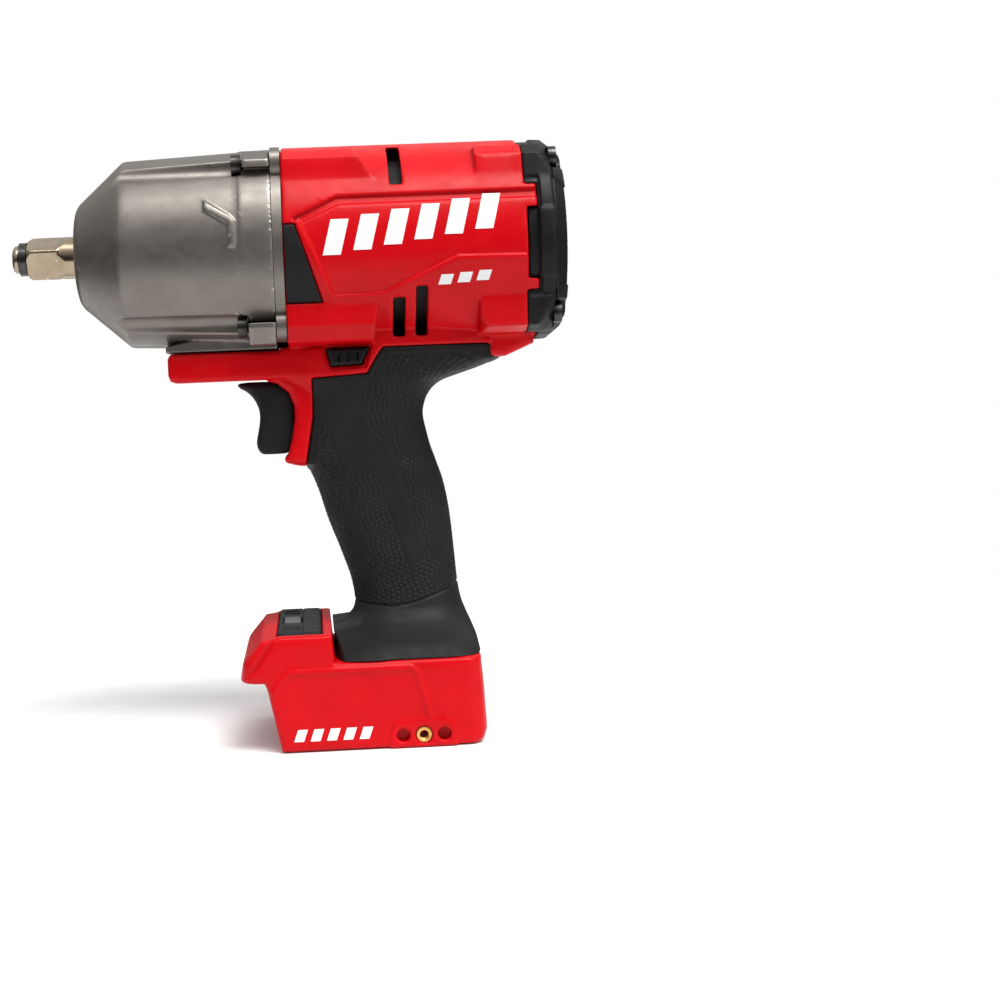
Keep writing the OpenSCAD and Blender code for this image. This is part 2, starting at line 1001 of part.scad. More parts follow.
module housing() {
    difference() {
        union() {
            difference() {
                union() {
                    barrel_block();
                    at_handle() {
                        light_bar();
                        keel();
                        guard_strip();
                        handle_shell();
                    }
                    at_foot()
                        foot_block();
                }
                rod(barrel_in, barrel_x0 - 1, barrel_x1 + 1);
                at_handle() {
                    handle_loft(grip_t + 2.5);
                    box([light_x + 4.5, -bar_w + 2.5, -48], [100, bar_w - 2.5, -41]);
                }
                electronics_bay();
            }
            // Ribs that carry the gearbox cover and the stator
            ring(barrel_r - 1, cover_r + 1.1, barrel_x0 + 3, barrel_x0 + 6);
            ring(barrel_r - 1, stator_r + 0.1, stator_x0 + 3, stator_x0 + 6);
            ring(barrel_r - 1, stator_r + 0.1, stator_x1 - 6, stator_x1 - 3);
            difference() {
                union() {
                    at_corners(case_screw)
                        rod(boss_r, barrel_x0, barrel_x0 + 33);
                    at_corners(cap_screw)
                        rod(boss_r, barrel_x1 - 19, barrel_x1);
                }
                rod(stator_r + 4.8, 0, barrel_x1 + 1);
            }
            intersection() {
                all_posts()
                    cylinder(r = post_r, h = 2 * foot_w - 1, center = true);
                union() {
                    at_handle() {
                        light_bar();
                        handle_loft(grip_t);
                    }
                    at_foot()
                        foot_block();
                }
            }
        }
        rod(cover_r + 1.1, 0, barrel_x0 + 11.5);
        at_corners(case_screw)
            rod(screw_r + 0.1, barrel_x0 - 1, barrel_x0 + 24);
        at_corners(cap_screw)
            rod(screw_r + 0.1, barrel_x1 - 15, barrel_x1 + 1);
        trigger_pocket();
        lever_slot();
        battery_bay();
        barrel_vents();
        post_holes();
        clip_holes(insert_r, 4.2);
        at_handle()
            box([light_x - 1, -9.5, -47.6], [light_x + 5, 9.5, -41.2]);
        difference() {
            bumper_prism();
            rod(barrel_r - 1.5, 0, barrel_x1);
        }
    }
}

module left_housing() {
    color("firebrick")
        intersection() {
            housing();
            half(-1);
        }
}

module right_housing() {
    color("firebrick")
        intersection() {
            housing();
            half(1);
        }
}

module grip(side) {
    color("#262729")
        difference() {
            intersection() {
                at_handle()
                    difference() {
                        intersection() {
                            handle_loft(0);
                            grip_zone();
                        }
                        handle_loft(grip_t);
                    }
                half(side);
            }
            rod(barrel_r + fine, barrel_x0, barrel_x1);
            lever_slot();
            post_holes();
        }
}

module left_grip() grip(-1);

module right_grip() grip(1);

module housing_screws() {
    color("dimgray")
        all_posts() {
            difference() {
                union() {
                    translate([0, 0, -8.6])
                        cylinder(r = post_screw_r, h = 17);
                    translate([0, 0, -9.2])
                        cylinder(r = 2.8, h = 2.1);
                }
                translate([0, 0, -10])
                    cylinder(r = 1.3, h = 2, $fn = 6);
            }
        }
}

// ---- Rear cap ----

module rear_cap() {
    color("#2b2d2f")
        difference() {
            union() {
                turned([
                    [barrel_in - 0.3, barrel_x1 - 4],
                    [barrel_in - 0.3, barrel_x1 + 0.2],
                    [barrel_r - 1, barrel_x1 + 0.2],
                    [barrel_r, barrel_x1 + 2.5],
                    [barrel_r - 0.2, barrel_x1 + 6.5],
                    [barrel_r - 2.5, barrel_x1 + 9],
                    [barrel_r - 6.5, barrel_x1 + 11],
                    [barrel_r - 12, cap_x],
                    [0, cap_x],
                    [0, cap_x - 2.8],
                    [barrel_r - 12, cap_x - 2.8],
                    [barrel_in - 2.5, barrel_x1 + 6],
                    [barrel_in - 2.5, barrel_x1 - 4]
                ]);
                ring(13, 9.5, rear_bearing_x0, cap_x - 2);
                rod(10, rear_bearing_x1 + 2, cap_x - 2);
                at_corners(cap_screw)
                    rod(boss_r, barrel_x1 + 0.2, barrel_x1 + 8.5);
            }
            at_corners(cap_screw) {
                rod(boss_r + 0.3, barrel_x1 - 6, barrel_x1 + 0.1);
                rod(screw_r + 0.2, barrel_x1 - 9, cap_x + 1);
                rod(screw_head_r + 0.3, barrel_x1 + 6, cap_x + 1);
            }
            for (side = [-1, 1])
                box(
                    [barrel_x1 + 1.2, side < 0 ? -60 : 26, -13.5],
                    [barrel_x1 + 4.4, side < 0 ? -26 : 60, 13.5]
                );
        }
}

module rear_cap_screws() {
    color("dimgray")
        at_corners(cap_screw)
            difference() {
                union() {
                    rod(screw_head_r, barrel_x1 + 6, barrel_x1 + 9);
                    rod(screw_r, barrel_x1 - 14, barrel_x1 + 6.2);
                }
                on_x(barrel_x1 + 7.4)
                    cylinder(r = 1.9, h = 3, $fn = 6);
            }
}

module rear_badge() {
    color("firebrick")
        intersection() {
            box([cap_x, -15, -10], [cap_x + 1.8, 15, 10]);
            rod(16.5, cap_x, cap_x + 1.8);
        }
}

// ---- Trigger, lever and lamp ----

module trigger_side() {
    side_plate([
        [66.5, -50.6],
        [67.4, -52.8],
        [70, -54.2],
        [72.4, -56.5],
        [74.1, -59.5],
        [74.7, -63],
        [74.3, -67],
        [73.1, -72],
        [73.2, -75],
        [74.6, -77.4],
        [77, -78.4],
        [85.5, -78.4],
        [87.6, -76],
        [88.8, -66],
        [88.5, -58],
        [86, -53],
        [82, -50.6]
    ], -trigger_w, trigger_w);
}

module trigger() {
    color("#303234")
        at_handle()
            difference() {
                union() {
                    trigger_side();
                    translate([0, 0, -65])
                        rod(2, 80, 100);
                }
                translate([0, 0, -65])
                    ring(4.6, 2, 81, 95);
            }
}

module trigger_spring() {
    color("silver")
        at_handle()
            translate([0, 0, -65])
                coil_spring(3.4, 1, 81.1, 98.3, 6);
}

module switch_module() {
    color("#3a3c40")
        at_handle()
            difference() {
                union() {
                    box([98.4, -10.6, -79], [124, 10.6, -52]);
                    box([103, -6, -52.1], [115, 6, -47.2]);
                }
                translate([0, 0, -65])
                    rod(2.1, 98, 108);
            }
}

module direction_lever() {
    color("#1d1e20")
        at_handle()
            side_plate([
                [101, -39.4],
                [117, -39.4],
                [114.2, -45.4],
                [102.6, -45.8]
            ], -22, 22);
}

module light_lens() {
    color("whitesmoke")
        at_handle()
            box([light_x + 0.6, -9.3, -47.4], [light_x + 3.4, 9.3, -41.4]);
}

module light_board() {
    color("darkgreen")
        at_handle()
            union() {
                box([light_x + 5.2, -10, -47.8], [light_x + 6.6, 10, -41.2]);
                for (y = [-5, 0, 5])
                    box([light_x + 4, y - 1.2, -45.6], [light_x + 5.3, y + 1.2, -43.2]);
            }
}

// ---- Foot ----

module control_module() {
    color("#2f3136")
        at_foot()
            difference() {
                box([86, -28, bay_roof + 2.4], [140, 28, foot_top - 0.3]);
                for (x = [92 : 8 : 124])
                    box([x, -24, foot_top - 2], [x + 4, 24, foot_top]);
            }
}

module control_panel() {
    color("#141516")
        at_foot()
            difference() {
                box([78.2, -33.2, -147.8], [94.8, 33.2, -143.4]);
                box([80, -button_w - 0.4, -149], [87.4, button_w + 0.4, -143]);
            }
}

module mode_button() {
    color("#8b8d90")
        at_foot()
            box([80.4, -button_w, -147.4], [87, button_w, -143]);
}

module panel_board() {
    color("darkgreen")
        at_foot()
            union() {
                box([78.5, -19, -152], [85.6, 19, -150.4]);
                box([81.5, -3, -150.5], [85, 3, -148.8]);
            }
}

module terminal_block() {
    color("#202124")
        at_foot()
            difference() {
                box([118, -22, -173], [140, 22, bay_roof]);
                for (y = [-16 : 8 : 16])
                    box([110, y - 1.6, -174], [136, y + 1.6, -165]);
            }
}

module terminal_blades() {
    color("gold")
        at_foot()
            for (y = [-16 : 8 : 16])
                box([121, y - 0.4, -172.5], [136, y + 0.4, -165]);
}

module clip_insert(side) {
    color("goldenrod")
        at_foot()
            translate([clip_at[0], side * (foot_w - 2.1), clip_at[1]])
                rotate([90, 0, 0])
                    difference() {
                        cylinder(r = insert_r, h = 4.1, center = true);
                        cylinder(r = thread_r, h = 5, center = true);
                    }
}

module left_clip_insert() clip_insert(-1);

module right_clip_insert() clip_insert(1);

left_housing();
right_housing();
left_grip();
right_grip();
left_bumper();
right_bumper();
gear_case();
gear_case_screws();
gearbox_cover();
nose_bushing();
nose_seal();
ring_gear();
carrier_bearing();
front_motor_bearing();
rear_motor_bearing();
stator_core();
stator_coils();
sensor_board();
rear_cap();
rear_cap_screws();
rear_badge();
housing_screws();
light_lens();
light_board();
switch_module();
control_module();
control_panel();
panel_board();
terminal_block();
terminal_blades();
left_clip_insert();
right_clip_insert();
motor_leads();
cam_shaft();
planet_pins();
cam_balls();
hammer_spring();
spring_washer();
thrust_balls();
hammer();
planet_gear(0);  // planet_gear_1
planet_gear(1);  // planet_gear_2
planet_gear(2);  // planet_gear_3
rotor_shaft();
rotor_core();
rotor_magnets();
fan();
anvil();
friction_ring();
friction_o_ring();
trigger();
trigger_spring();
direction_lever();
mode_button();
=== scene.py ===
"""Looks of the cordless impact wrench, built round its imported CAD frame.

Moulded and machined shapes are written as signed distances in millimetres, in the CAD frame: X runs along
the drive axis with the nose at -X, Z is up and the tool's left side is at -Y. Each shape is meshed once.
"""

import copy
import json
import math

import bpy
import numpy as np
import openvdb as vdb
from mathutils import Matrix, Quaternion, Vector


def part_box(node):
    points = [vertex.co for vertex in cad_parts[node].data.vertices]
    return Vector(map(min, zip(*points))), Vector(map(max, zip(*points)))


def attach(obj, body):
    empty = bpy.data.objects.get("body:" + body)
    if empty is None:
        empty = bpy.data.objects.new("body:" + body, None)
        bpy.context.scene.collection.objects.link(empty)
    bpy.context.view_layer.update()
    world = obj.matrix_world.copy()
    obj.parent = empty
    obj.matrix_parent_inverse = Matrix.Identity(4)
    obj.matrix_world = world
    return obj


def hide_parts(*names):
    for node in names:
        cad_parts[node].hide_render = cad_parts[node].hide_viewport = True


MM = 0.001
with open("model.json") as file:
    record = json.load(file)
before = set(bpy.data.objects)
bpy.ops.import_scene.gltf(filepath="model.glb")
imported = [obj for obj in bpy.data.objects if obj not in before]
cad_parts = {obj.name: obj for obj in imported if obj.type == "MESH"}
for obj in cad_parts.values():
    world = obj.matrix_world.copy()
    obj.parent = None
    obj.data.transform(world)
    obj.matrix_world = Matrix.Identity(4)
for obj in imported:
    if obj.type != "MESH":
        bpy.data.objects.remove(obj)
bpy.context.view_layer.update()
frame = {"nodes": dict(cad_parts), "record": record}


def span(node):
    """Lowest and highest corner of a CAD node, in millimetres."""
    low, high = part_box(node)
    return np.array(low) / MM, np.array(high) / MM


# ---- Sizes that come from the frame ----

case_low, case_high = span("gear_case")
body_low, body_high = span("left_housing")
lever_low, lever_high = span("direction_lever")
lens_low, lens_high = span("light_lens")
panel_low, panel_high = span("control_panel")
button_low, button_high = span("mode_button")
insert_low, insert_high = span("left_clip_insert")
square_low, square_high = span("anvil")

NOSE_X = case_low[0]
CASE_END = case_high[0]
BODY_X = span("left_bumper")[0][0]
BODY_END = body_high[0]
BARREL_R = body_high[2]
BORE_R = BARREL_R - 3.2
BAR_X = body_low[0]
FOOT_Z = body_low[2]
FOOT_HALF = 37.5
CAP_END = span("rear_cap")[1][0]
CLIP = (insert_low + insert_high) / 2

# ---- Sizes that belong to the looks ----

WALL = 3.0
GRIP_T = 2.2
GRIP_GAP = 0.12  # between the rubber and the shell beside it
LABEL_SINK = 0.55  # how deep the label field lies in the barrel
SCREWS = (24.0, 30.0)  # of the gear case, as (|y|, |z|)
CAP_SCREWS = (23.0, 29.0)
CASE_SCREW_R = 2.2
HEAD_R = 3.3  # a clamshell screw's counterbore
SHANK_R = 1.65
POST_R = 3.6
TRIGGER_HALF = 10.0
TRIGGER_PULL = 7.0
TRIGGER_SPRING_Z = -65
BAR_HALF = 16.5
COARSE = 1.0

# ---- Signed distances ----

FAR = 1000.0


class Block:
    """A block of space on a grid, and the distance to one piece at each point, negative inside."""

    def __init__(self, low, high, step):
        self.step = step * COARSE
        self.low = np.array(low, np.float32)
        axes = [np.arange(a, b + self.step, self.step, dtype=np.float32) for a, b in zip(low, high)]
        self.x = axes[0][:, None, None]
        self.y = axes[1][None, :, None]
        self.z = axes[2][None, None, :]
        self.d = np.full([len(a) for a in axes], FAR, np.float32)

    @property
    def radius(self):
        return np.hypot(self.y, self.z)

    def near(self, low, high):
        """The part of the block between two corners. It shares the block's distances."""
        start = np.floor((np.array(low) - self.low) / self.step).astype(int)
        stop = np.ceil((np.array(high) - self.low) / self.step).astype(int) + 1
        start = np.clip(start, 0, self.d.shape)
        stop = np.clip(stop, start, self.d.shape)
        part = copy.copy(self)
        part.low = self.low + start * self.step
        part.x = self.x[start[0]:stop[0]]
        part.y = self.y[:, start[1]:stop[1]]
        part.z = self.z[:, :, start[2]:stop[2]]
        part.d = self.d[start[0]:stop[0], start[1]:stop[1], start[2]:stop[2]]
        return part

    def add(self, shape, blend=0.0):
        self.d[...] = soft_min(self.d, shape, blend)

    def cut(self, shape, blend=0.0):
        self.d[...] = -soft_min(-self.d, shape, blend)

    def keep(self, shape, blend=0.0):
        self.d[...] = -soft_min(-self.d, -shape, blend)


def soft_min(a, b, r):
    """The union of two shapes, with a fillet of about r."""
    if r <= 0:
        return np.minimum(a, b)
    overlap = np.maximum(r - np.abs(a - b), 0) / r
    return np.minimum(a, b) - overlap * overlap * (r * 0.25)


def both(a, b, r=0.0):
    """Where two shapes meet, with the edge rounded by about r."""
    return -soft_min(-a, -b, r)


def slab(v, low, high):
    return np.abs(v - (low + high) / 2) - (high - low) / 2


def brick(b, low, high, r=0.0):
    side = both(slab(b.x, low[0], high[0]), slab(b.z, low[2], high[2]), r)
    return both(side, slab(b.y, low[1], high[1]), r)


def rod(b, r, x0, x1, y=0.0, z=0.0, edge=0.0):
    return both(np.hypot(b.y - y, b.z - z) - r, slab(b.x, x0, x1), edge)


def rod_y(b, r, y0, y1, x, z, edge=0.0):
    return both(np.hypot(b.x - x, b.z - z) - r, slab(b.y, y0, y1), edge)


def path_distance(points, u, v, closed=False):
    """Distance from (u, v) to a line through the points."""
    ends = list(points[1:]) + ([points[0]] if closed else [])
    nearest = np.full(np.broadcast(u, v).shape, FAR * FAR, np.float32)
    for (u0, v0), (u1, v1) in zip(points, ends):
        du, dv = u1 - u0, v1 - v0
        t = np.clip(((u - u0) * du + (v - v0) * dv) / (du * du + dv * dv), 0, 1)
        nearest = np.minimum(nearest, (u - u0 - t * du) ** 2 + (v - v0 - t * dv) ** 2)
    return np.sqrt(nearest)


def polygon(points, u, v):
    """Signed distance to a closed outline, negative inside."""
    inside = np.zeros(np.broadcast(u, v).shape, bool)
    for (u0, v0), (u1, v1) in zip(points, list(points[1:]) + [points[0]]):
        if v0 != v1:
            inside ^= ((v0 <= v) != (v1 <= v)) & (u < u0 + (v - v0) / (v1 - v0) * (u1 - u0))
    distance = path_distance(points, u, v, closed=True)
    return np.where(inside, -distance, distance)


def plate(b, outline, y0, y1, edge=0.0):
    """An outline in the side view, as (x, z), spread across the width."""
    return both(polygon(outline, b.x, b.z), slab(b.y, y0, y1), edge)


def turned(b, outline):
    """A turned shape from its outline as (x, radius)."""
    grain = 0.1
    radii = np.arange(0, b.radius.max() + 2, grain, dtype=np.float32)
    table = polygon(outline, b.x[:, 0], radii[None, :]).astype(np.float32)
    place = b.radius[0] / grain
    index = place.astype(int)
    share = (place - index).astype(np.float32)
    return table[:, index] * (1 - share) + table[:, index + 1] * share


def softened(points, times=2):
    """An outline with its corners cut, again and again, until it is round."""
    for _ in range(times):
        cornered = []
        for (u0, v0), (u1, v1) in zip(points, list(points[1:]) + [points[0]]):
            cornered.append((0.75 * u0 + 0.25 * u1, 0.75 * v0 + 0.25 * v1))
            cornered.append((0.25 * u0 + 0.75 * u1, 0.25 * v0 + 0.75 * v1))
        points = cornered
    return points


def flowing(knots, values, at):
    """A smooth curve through the values that doesn't overshoot them."""
    knots, values = np.array(knots, float), np.array(values, float)
    h = np.diff(knots)
    slope = np.diff(values) / h
    product = slope[:-1] * slope[1:]
    total = np.where(product > 0, slope[:-1] + slope[1:], 1)
    m = np.concatenate([[slope[0]], np.where(product > 0, 2 * product / total, 0), [slope[-1]]])
    i = np.clip(np.searchsorted(knots, at) - 1, 0, len(knots) - 2)
    t = np.clip((at - knots[i]) / h[i], 0, 1)
    rise = values[i + 1] - values[i]
    curve = values[i] + rise * t * t * (3 - 2 * t)
    curve += h[i] * t * (1 - t) * (m[i] * (1 - t) - m[i + 1] * t)
    return curve.astype(np.float32)


# ---- Meshes ----


def new_object(name, data):
    made = bpy.data.objects.new(name, data)
    bpy.context.scene.collection.objects.link(made)
    return made


def mesh_object(name, points, faces, smooth=True):
    """A mesh object from points in metres and arrays of faces."""
    mesh = bpy.data.meshes.new(name)
    mesh.vertices.add(len(points))
    mesh.vertices.foreach_set("co", points.astype(np.float32).ravel())
    corners = np.concatenate([f.ravel() for f in faces]).astype(np.int32)
    sizes = np.concatenate([np.full(len(f), f.shape[1]) for f in faces])
    mesh.loops.add(len(corners))
    mesh.loops.foreach_set("vertex_index", corners)
    mesh.polygons.add(len(sizes))
    starts = np.concatenate([[0], np.cumsum(sizes)[:-1]]).astype(np.int32)
    mesh.polygons.foreach_set("loop_start", starts)
    mesh.update(calc_edges=True)
    mesh.validate()
    mesh.polygons.foreach_set("use_smooth", np.full(len(sizes), smooth))
    return new_object(name, mesh)


def skinned(b, name, adaptivity=0.0):
    """Meshes the piece in a block."""
    band = 3 * b.step
    grid = vdb.FloatGrid(background=band)
    grid.copyFromArray(np.ascontiguousarray(np.clip(b.d, -band, band)))
    points, triangles, quads = grid.convertToPolygons(isovalue=0.0, adaptivity=adaptivity)
    points = (points * b.step + b.low) * MM
    return mesh_object(name, points, [f for f in (triangles, quads) if len(f)])


def other_side(piece, name):
    """A copy of a piece, mirrored to the other side of the tool."""
    mesh = piece.data.copy()
    mesh.name = name
    co = np.empty(len(mesh.vertices) * 3, np.float32)
    mesh.vertices.foreach_get("co", co)
    co[1::3] *= -1
    mesh.vertices.foreach_set("co", co)
    mesh.flip_normals()
    mesh.update()
    return new_object(name, mesh)


def place(piece, body, slot, *nodes):
    """Puts a piece on its body, in place of the CAD nodes, with the slot's finish."""
    piece.data.materials.clear()
    piece.data.materials.append(finishes[slot])
    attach(piece, body)
    if nodes:
        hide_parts(*nodes)
    return piece


# ---- Finishes ----


def linear(r, g, b):
    """A colour given in sRGB, 0 to 255, as Blender's linear values."""
    values = [c / 255 for c in (r, g, b)]
    return tuple(c / 12.92 if c <= 0.04045 else ((c + 0.055) / 1.055) ** 2.4 for c in values) + (1.0,)


class Finish:
    """A procedural material: two tones in blotches, a fine grain, uneven gloss and worn edges."""

    def __init__(self, name, tone, other_tone, rough, metallic=0.0):
        self.material = bpy.data.materials.new(name)
        self.material.use_nodes = True
        self.tree = self.material.node_tree
        self.shader = self.tree.nodes["Principled BSDF"]
        self.shader.inputs["Metallic"].default_value = metallic
        self.place = self.tree.nodes.new("ShaderNodeTexCoord").outputs["Object"]
        self.colour = self.blend(self.spread(self.noise(55, 4)), tone, other_tone)
        gloss = self.spread(self.noise(190, 5), rough[0], rough[1])
        self.link(gloss, self.shader.inputs["Roughness"])
        self.normal = None
        self.link(self.colour, self.shader.inputs["Base Color"])

    def link(self, a, b):
        self.tree.links.new(a, b)

    def node(self, kind, **inputs):
        """A new node; each input is linked to a socket or set to a value."""
        node = self.tree.nodes.new("ShaderNode" + kind)
        for name, value in inputs.items():
            target = node.inputs[name.replace("_", " ")]
            if isinstance(value, bpy.types.NodeSocket):
                self.link(value, target)
            else:
                target.default_value = value
        return node

    def noise(self, scale, detail=2.0, stretch=None):
        place = self.place
        if stretch is not None:
            place = self.node("Mapping", Vector=place, Scale=stretch).outputs["Vector"]
        return self.node("TexNoise", Vector=place, Scale=scale, Detail=detail).outputs["Fac"]

    def spread(self, value, low=0.0, high=1.0, start=0.35, end=0.65):
        node = self.node("MapRange", Value=value, From_Min=start, From_Max=end, To_Min=low, To_Max=high)
        return node.outputs["Result"]

    def times(self, a, b):
        node = self.tree.nodes.new("ShaderNodeMath")
        node.operation = "MULTIPLY"
        self.link(a, node.inputs[0])
        self.link(b, node.inputs[1])
        return node.outputs["Value"]

    def blend(self, share, a, b):
        node = self.tree.nodes.new("ShaderNodeMix")
        node.data_type = "RGBA"
        self.link(share, node.inputs["Factor"])
        for socket, value in (("A", a), ("B", b)):
            target = [s for s in node.inputs if s.name == socket and s.type == "RGBA"][0]
            if isinstance(value, tuple):
                target.default_value = value
            else:
                self.link(value, target)
        return [s for s in node.outputs if s.type == "RGBA"][0]

    def recolour(self, share, colour):
        self.colour = self.blend(share, self.colour, colour)
        self.link(self.colour, self.shader.inputs["Base Color"])
        return self

    def worn(self, colour, start, end):
        """Lighter or rubbed along its outer edges, in patches."""
        edge = self.tree.nodes.new("ShaderNodeNewGeometry").outputs["Pointiness"]
        return self.recolour(self.times(self.spread(edge, 0, 1, start, end), self.noise(420, 6)), colour)

    def shade_and_oxide_in_hollows(self, colour, start, end):
        """Dust or oil in the hollows."""
        # Darker in the hollows: painted shade in the rubber's creases, oxide in the nickel's hollows.
        edge = self.tree.nodes.new("ShaderNodeNewGeometry").outputs["Pointiness"]
        return self.recolour(self.spread(edge, 1, 0, start, end), colour)

    def grained(self, height, depth_mm):
        """Relief of the given depth; several can be laid one on another."""
        under = {} if self.normal is None else {"Normal": self.normal}
        node = self.node("Bump", Strength=1.0, Distance=depth_mm * MM, Height=height, **under)
        self.normal = node.outputs["Normal"]
        self.link(self.normal, self.shader.inputs["Normal"])
        return self

    def cells(self, scale):
        return self.node("TexVoronoi", Scale=scale, Vector=self.place).outputs["Distance"]

    def set(self, **values):
        for name, value in values.items():
            self.shader.inputs[name.replace("_", " ")].default_value = value
        return self


def moulded(name, tone, other_tone, rough, edge, grain_mm):
    """Moulded plastic: a spark-eroded texture, soft gloss and edges rubbed smooth."""
    made = Finish(name, tone, other_tone, rough)
    made.set(Specular_IOR_Level=0.14)
    made.grained(made.noise(2600, 2), grain_mm)
    made.grained(made.noise(700, 1), grain_mm * 1.5)
    return made.worn(edge, 0.52, 0.62)


def machined(name, tone, other_tone, rough, marks, edge):
    """Metal with tool marks round the drive axis, and bright edges."""
    made = Finish(name, tone, other_tone, rough, metallic=1.0)
    made.grained(made.noise(60, 3, stretch=marks), 0.02)
    made.grained(made.noise(900, 3), 0.006)
    return made.worn(edge, 0.53, 0.62)


def cast(name):
    """Blasted die-cast metal."""
    made = Finish(name, linear(118, 113, 107), linear(111, 106, 100), (0.36, 0.46), metallic=0.8)
    made.grained(made.noise(1500, 4), 0.014)
    made.grained(made.cells(500), 0.008)
    return made.recolour(made.spread(made.noise(2400, 1), 0, 0.08, 0.6, 0.75), linear(206, 203, 198))


# Moulded slots: tone, other tone, gloss from and to, tone of the rubbed edges, depth of the grain
MOULDED = {
    "red_plastic": ((196, 3, 15), (186, 3, 13), (0.30, 0.42), (212, 26, 34), 0.012),
    "rubber": ((30, 29, 30), (24, 24, 25), (0.46, 0.60), (58, 58, 58), 0.02),
    "black_plastic": ((27, 27, 28), (21, 21, 22), (0.34, 0.50), (58, 59, 60), 0.012),
    "grey_plastic": ((92, 94, 96), (78, 80, 83), (0.30, 0.45), (150, 152, 154), 0.012),
    "board": ((22, 92, 52), (16, 76, 42), (0.24, 0.36), (150, 138, 60), 0.012),
    "lens": ((232, 236, 238), (222, 227, 231), (0.06, 0.14), (248, 250, 250), 0.004),
    "wire": ((196, 64, 28), (178, 52, 22), (0.36, 0.50), (226, 120, 80), 0.012),
    "mark": ((236, 236, 236), (226, 227, 228), (0.40, 0.52), (244, 244, 244), 0.008),
}

# How the tool marks are drawn out: round a turned piece, along a drawn wire, between thin sheets
TURNED = (60.0, 1.0, 1.0)
WOUND = (1.0, 90.0, 90.0)
COILED = (1.0, 70.0, 70.0)
STACKED = (160.0, 1.0, 1.0)

# Metal slots: tone, other tone, gloss from and to, tool marks, tone of the bright edges
MACHINED = {
    "steel": ((170, 170, 172), (148, 149, 152), (0.24, 0.38), TURNED, (222, 222, 224)),
    "dark_steel": ((36, 35, 34), (28, 27, 27), (0.28, 0.42), TURNED, (96, 94, 92)),
    "nickel": ((166, 152, 132), (148, 132, 112), (0.18, 0.30), TURNED, (236, 234, 228)),
    "bronze": ((176, 128, 76), (150, 104, 60), (0.28, 0.42), TURNED, (216, 174, 120)),
    "brass": ((232, 186, 112), (206, 156, 84), (0.20, 0.34), TURNED, (250, 222, 164)),
    "copper": ((196, 108, 62), (170, 86, 46), (0.22, 0.36), WOUND, (232, 158, 112)),
    "laminations": ((112, 114, 118), (88, 90, 94), (0.32, 0.48), STACKED, (160, 162, 166)),
    "magnet": ((150, 150, 154), (126, 127, 132), (0.18, 0.30), TURNED, (206, 206, 210)),
    "spring": ((140, 142, 146), (112, 114, 118), (0.26, 0.40), COILED, (200, 202, 206)),
}


def build_finishes():
    made = {}
    for name, (tone, other, rough, edge, grain) in MOULDED.items():
        made[name] = moulded(name, linear(*tone), linear(*other), rough, linear(*edge), grain)
    for name, (tone, other, rough, marks, edge) in MACHINED.items():
        made[name] = machined(name, linear(*tone), linear(*other), rough, marks, linear(*edge))
    made["cast_case"] = cast("cast_case").worn(linear(186, 182, 176), 0.52, 0.6)
    made["cast_flange"] = cast("cast_flange")
    # Painted shade: the rubber is drawn darker in its creases and hollows, where shade falls.
    made["rubber"].shade_and_oxide_in_hollows(linear(20, 20, 21), 0.44, 0.5)
    # Oxide darkens the nickel in its hollows.
    made["nickel"].shade_and_oxide_in_hollows(linear(52, 44, 36), 0.42, 0.49)
    made["lens"].set(Transmission_Weight=0.55, IOR=1.49)
    return {name: finish.material for name, finish in made.items()}


finishes = build_finishes()

# ---- The handle ----

# Sections of the handle: height, front edge, rear edge, half width, squareness
HANDLE = [
    (-154.7, 99.5, 154.5, 36.8, 6.0),
    (-150.5, 100.5, 154.0, 32.5, 4.5),
    (-146, 103.0, 152.6, 25.5, 3.4),
    (-142, 106.4, 151.0, 20.8, 2.8),
    (-137, 108.2, 149.3, 18.2, 2.5),
    (-130, 107.5, 148.2, 17.6, 2.4),
    (-118, 104.0, 147.4, 17.2, 2.4),
    (-104, 99.0, 146.3, 17.2, 2.4),
    (-92, 95.5, 144.4, 17.4, 2.4),
    (-84.4, 92.0, 142.1, 17.5, 2.5),
    (-83.2, 89.5, 141.7, 17.5, 2.5),
    (-82.2, 85.0, 141.4, 17.5, 2.6),
    (-81, 83.8, 141.0, 17.5, 2.6),
    (-78, 84.8, 140.0, 17.6, 2.6),
    (-73, 86.5, 138.8, 17.7, 2.6),
    (-65, 88.0, 137.5, 17.9, 2.6),
    (-60, 88.0, 138.6, 18.2, 2.6),
    (-56, 86.6, 141.0, 18.6, 2.6),
    (-53, 83.5, 144.8, 19.0, 2.7),
    (-50.4, 79.0, 152.5, 19.6, 2.8),
    (-48, 78.0, 160.0, 20.0, 3.0),
    (-44.5, 79.0, 168.2, 20.6, 3.0),
    (-39.3, 82.0, 168.6, 21.0, 3.0),
    (-38, 88.4, 168.4, 21.0, 3.0),
    (-30, 90.0, 166.0, 20.0, 3.0),
]

# What the rubber covers, from the side
GRIP_ZONE = [
    (60, -160), (60, -84.2), (91.3, -84.2), (92.8, -76), (94.8, -65), (95.2, -50), (116, -49),
    (119.5, -43), (122.4, -39.3), (167, -39.3), (168, -40.5), (168, -47), (175, -47),
    (175, -160),
]


def handle(b, inset=0.0):
    """The handle's solid, or what is left of it below a skin of the given thickness."""
    heights = [g[0] for g in HANDLE]
    front, rear, half, square = (flowing(heights, [g[i] for g in HANDLE], b.z) for i in (1, 2, 3, 4))
    deep = (rear - front) / 2 - inset
    wide = half - inset
    u = np.abs(b.x - (front + rear) / 2) / deep
    v = np.abs(b.y) / wide
    g = np.maximum((u**square + v**square) ** (1 / square), 0.05)
    steep = np.hypot((u / g) ** (square - 1) / deep, (v / g) ** (square - 1) / wide)
    return both((g - 1) / np.maximum(steep, 1e-6), slab(b.z, heights[0], heights[-1]))


def grip_zone(b):
    return polygon(GRIP_ZONE, b.x, b.z)


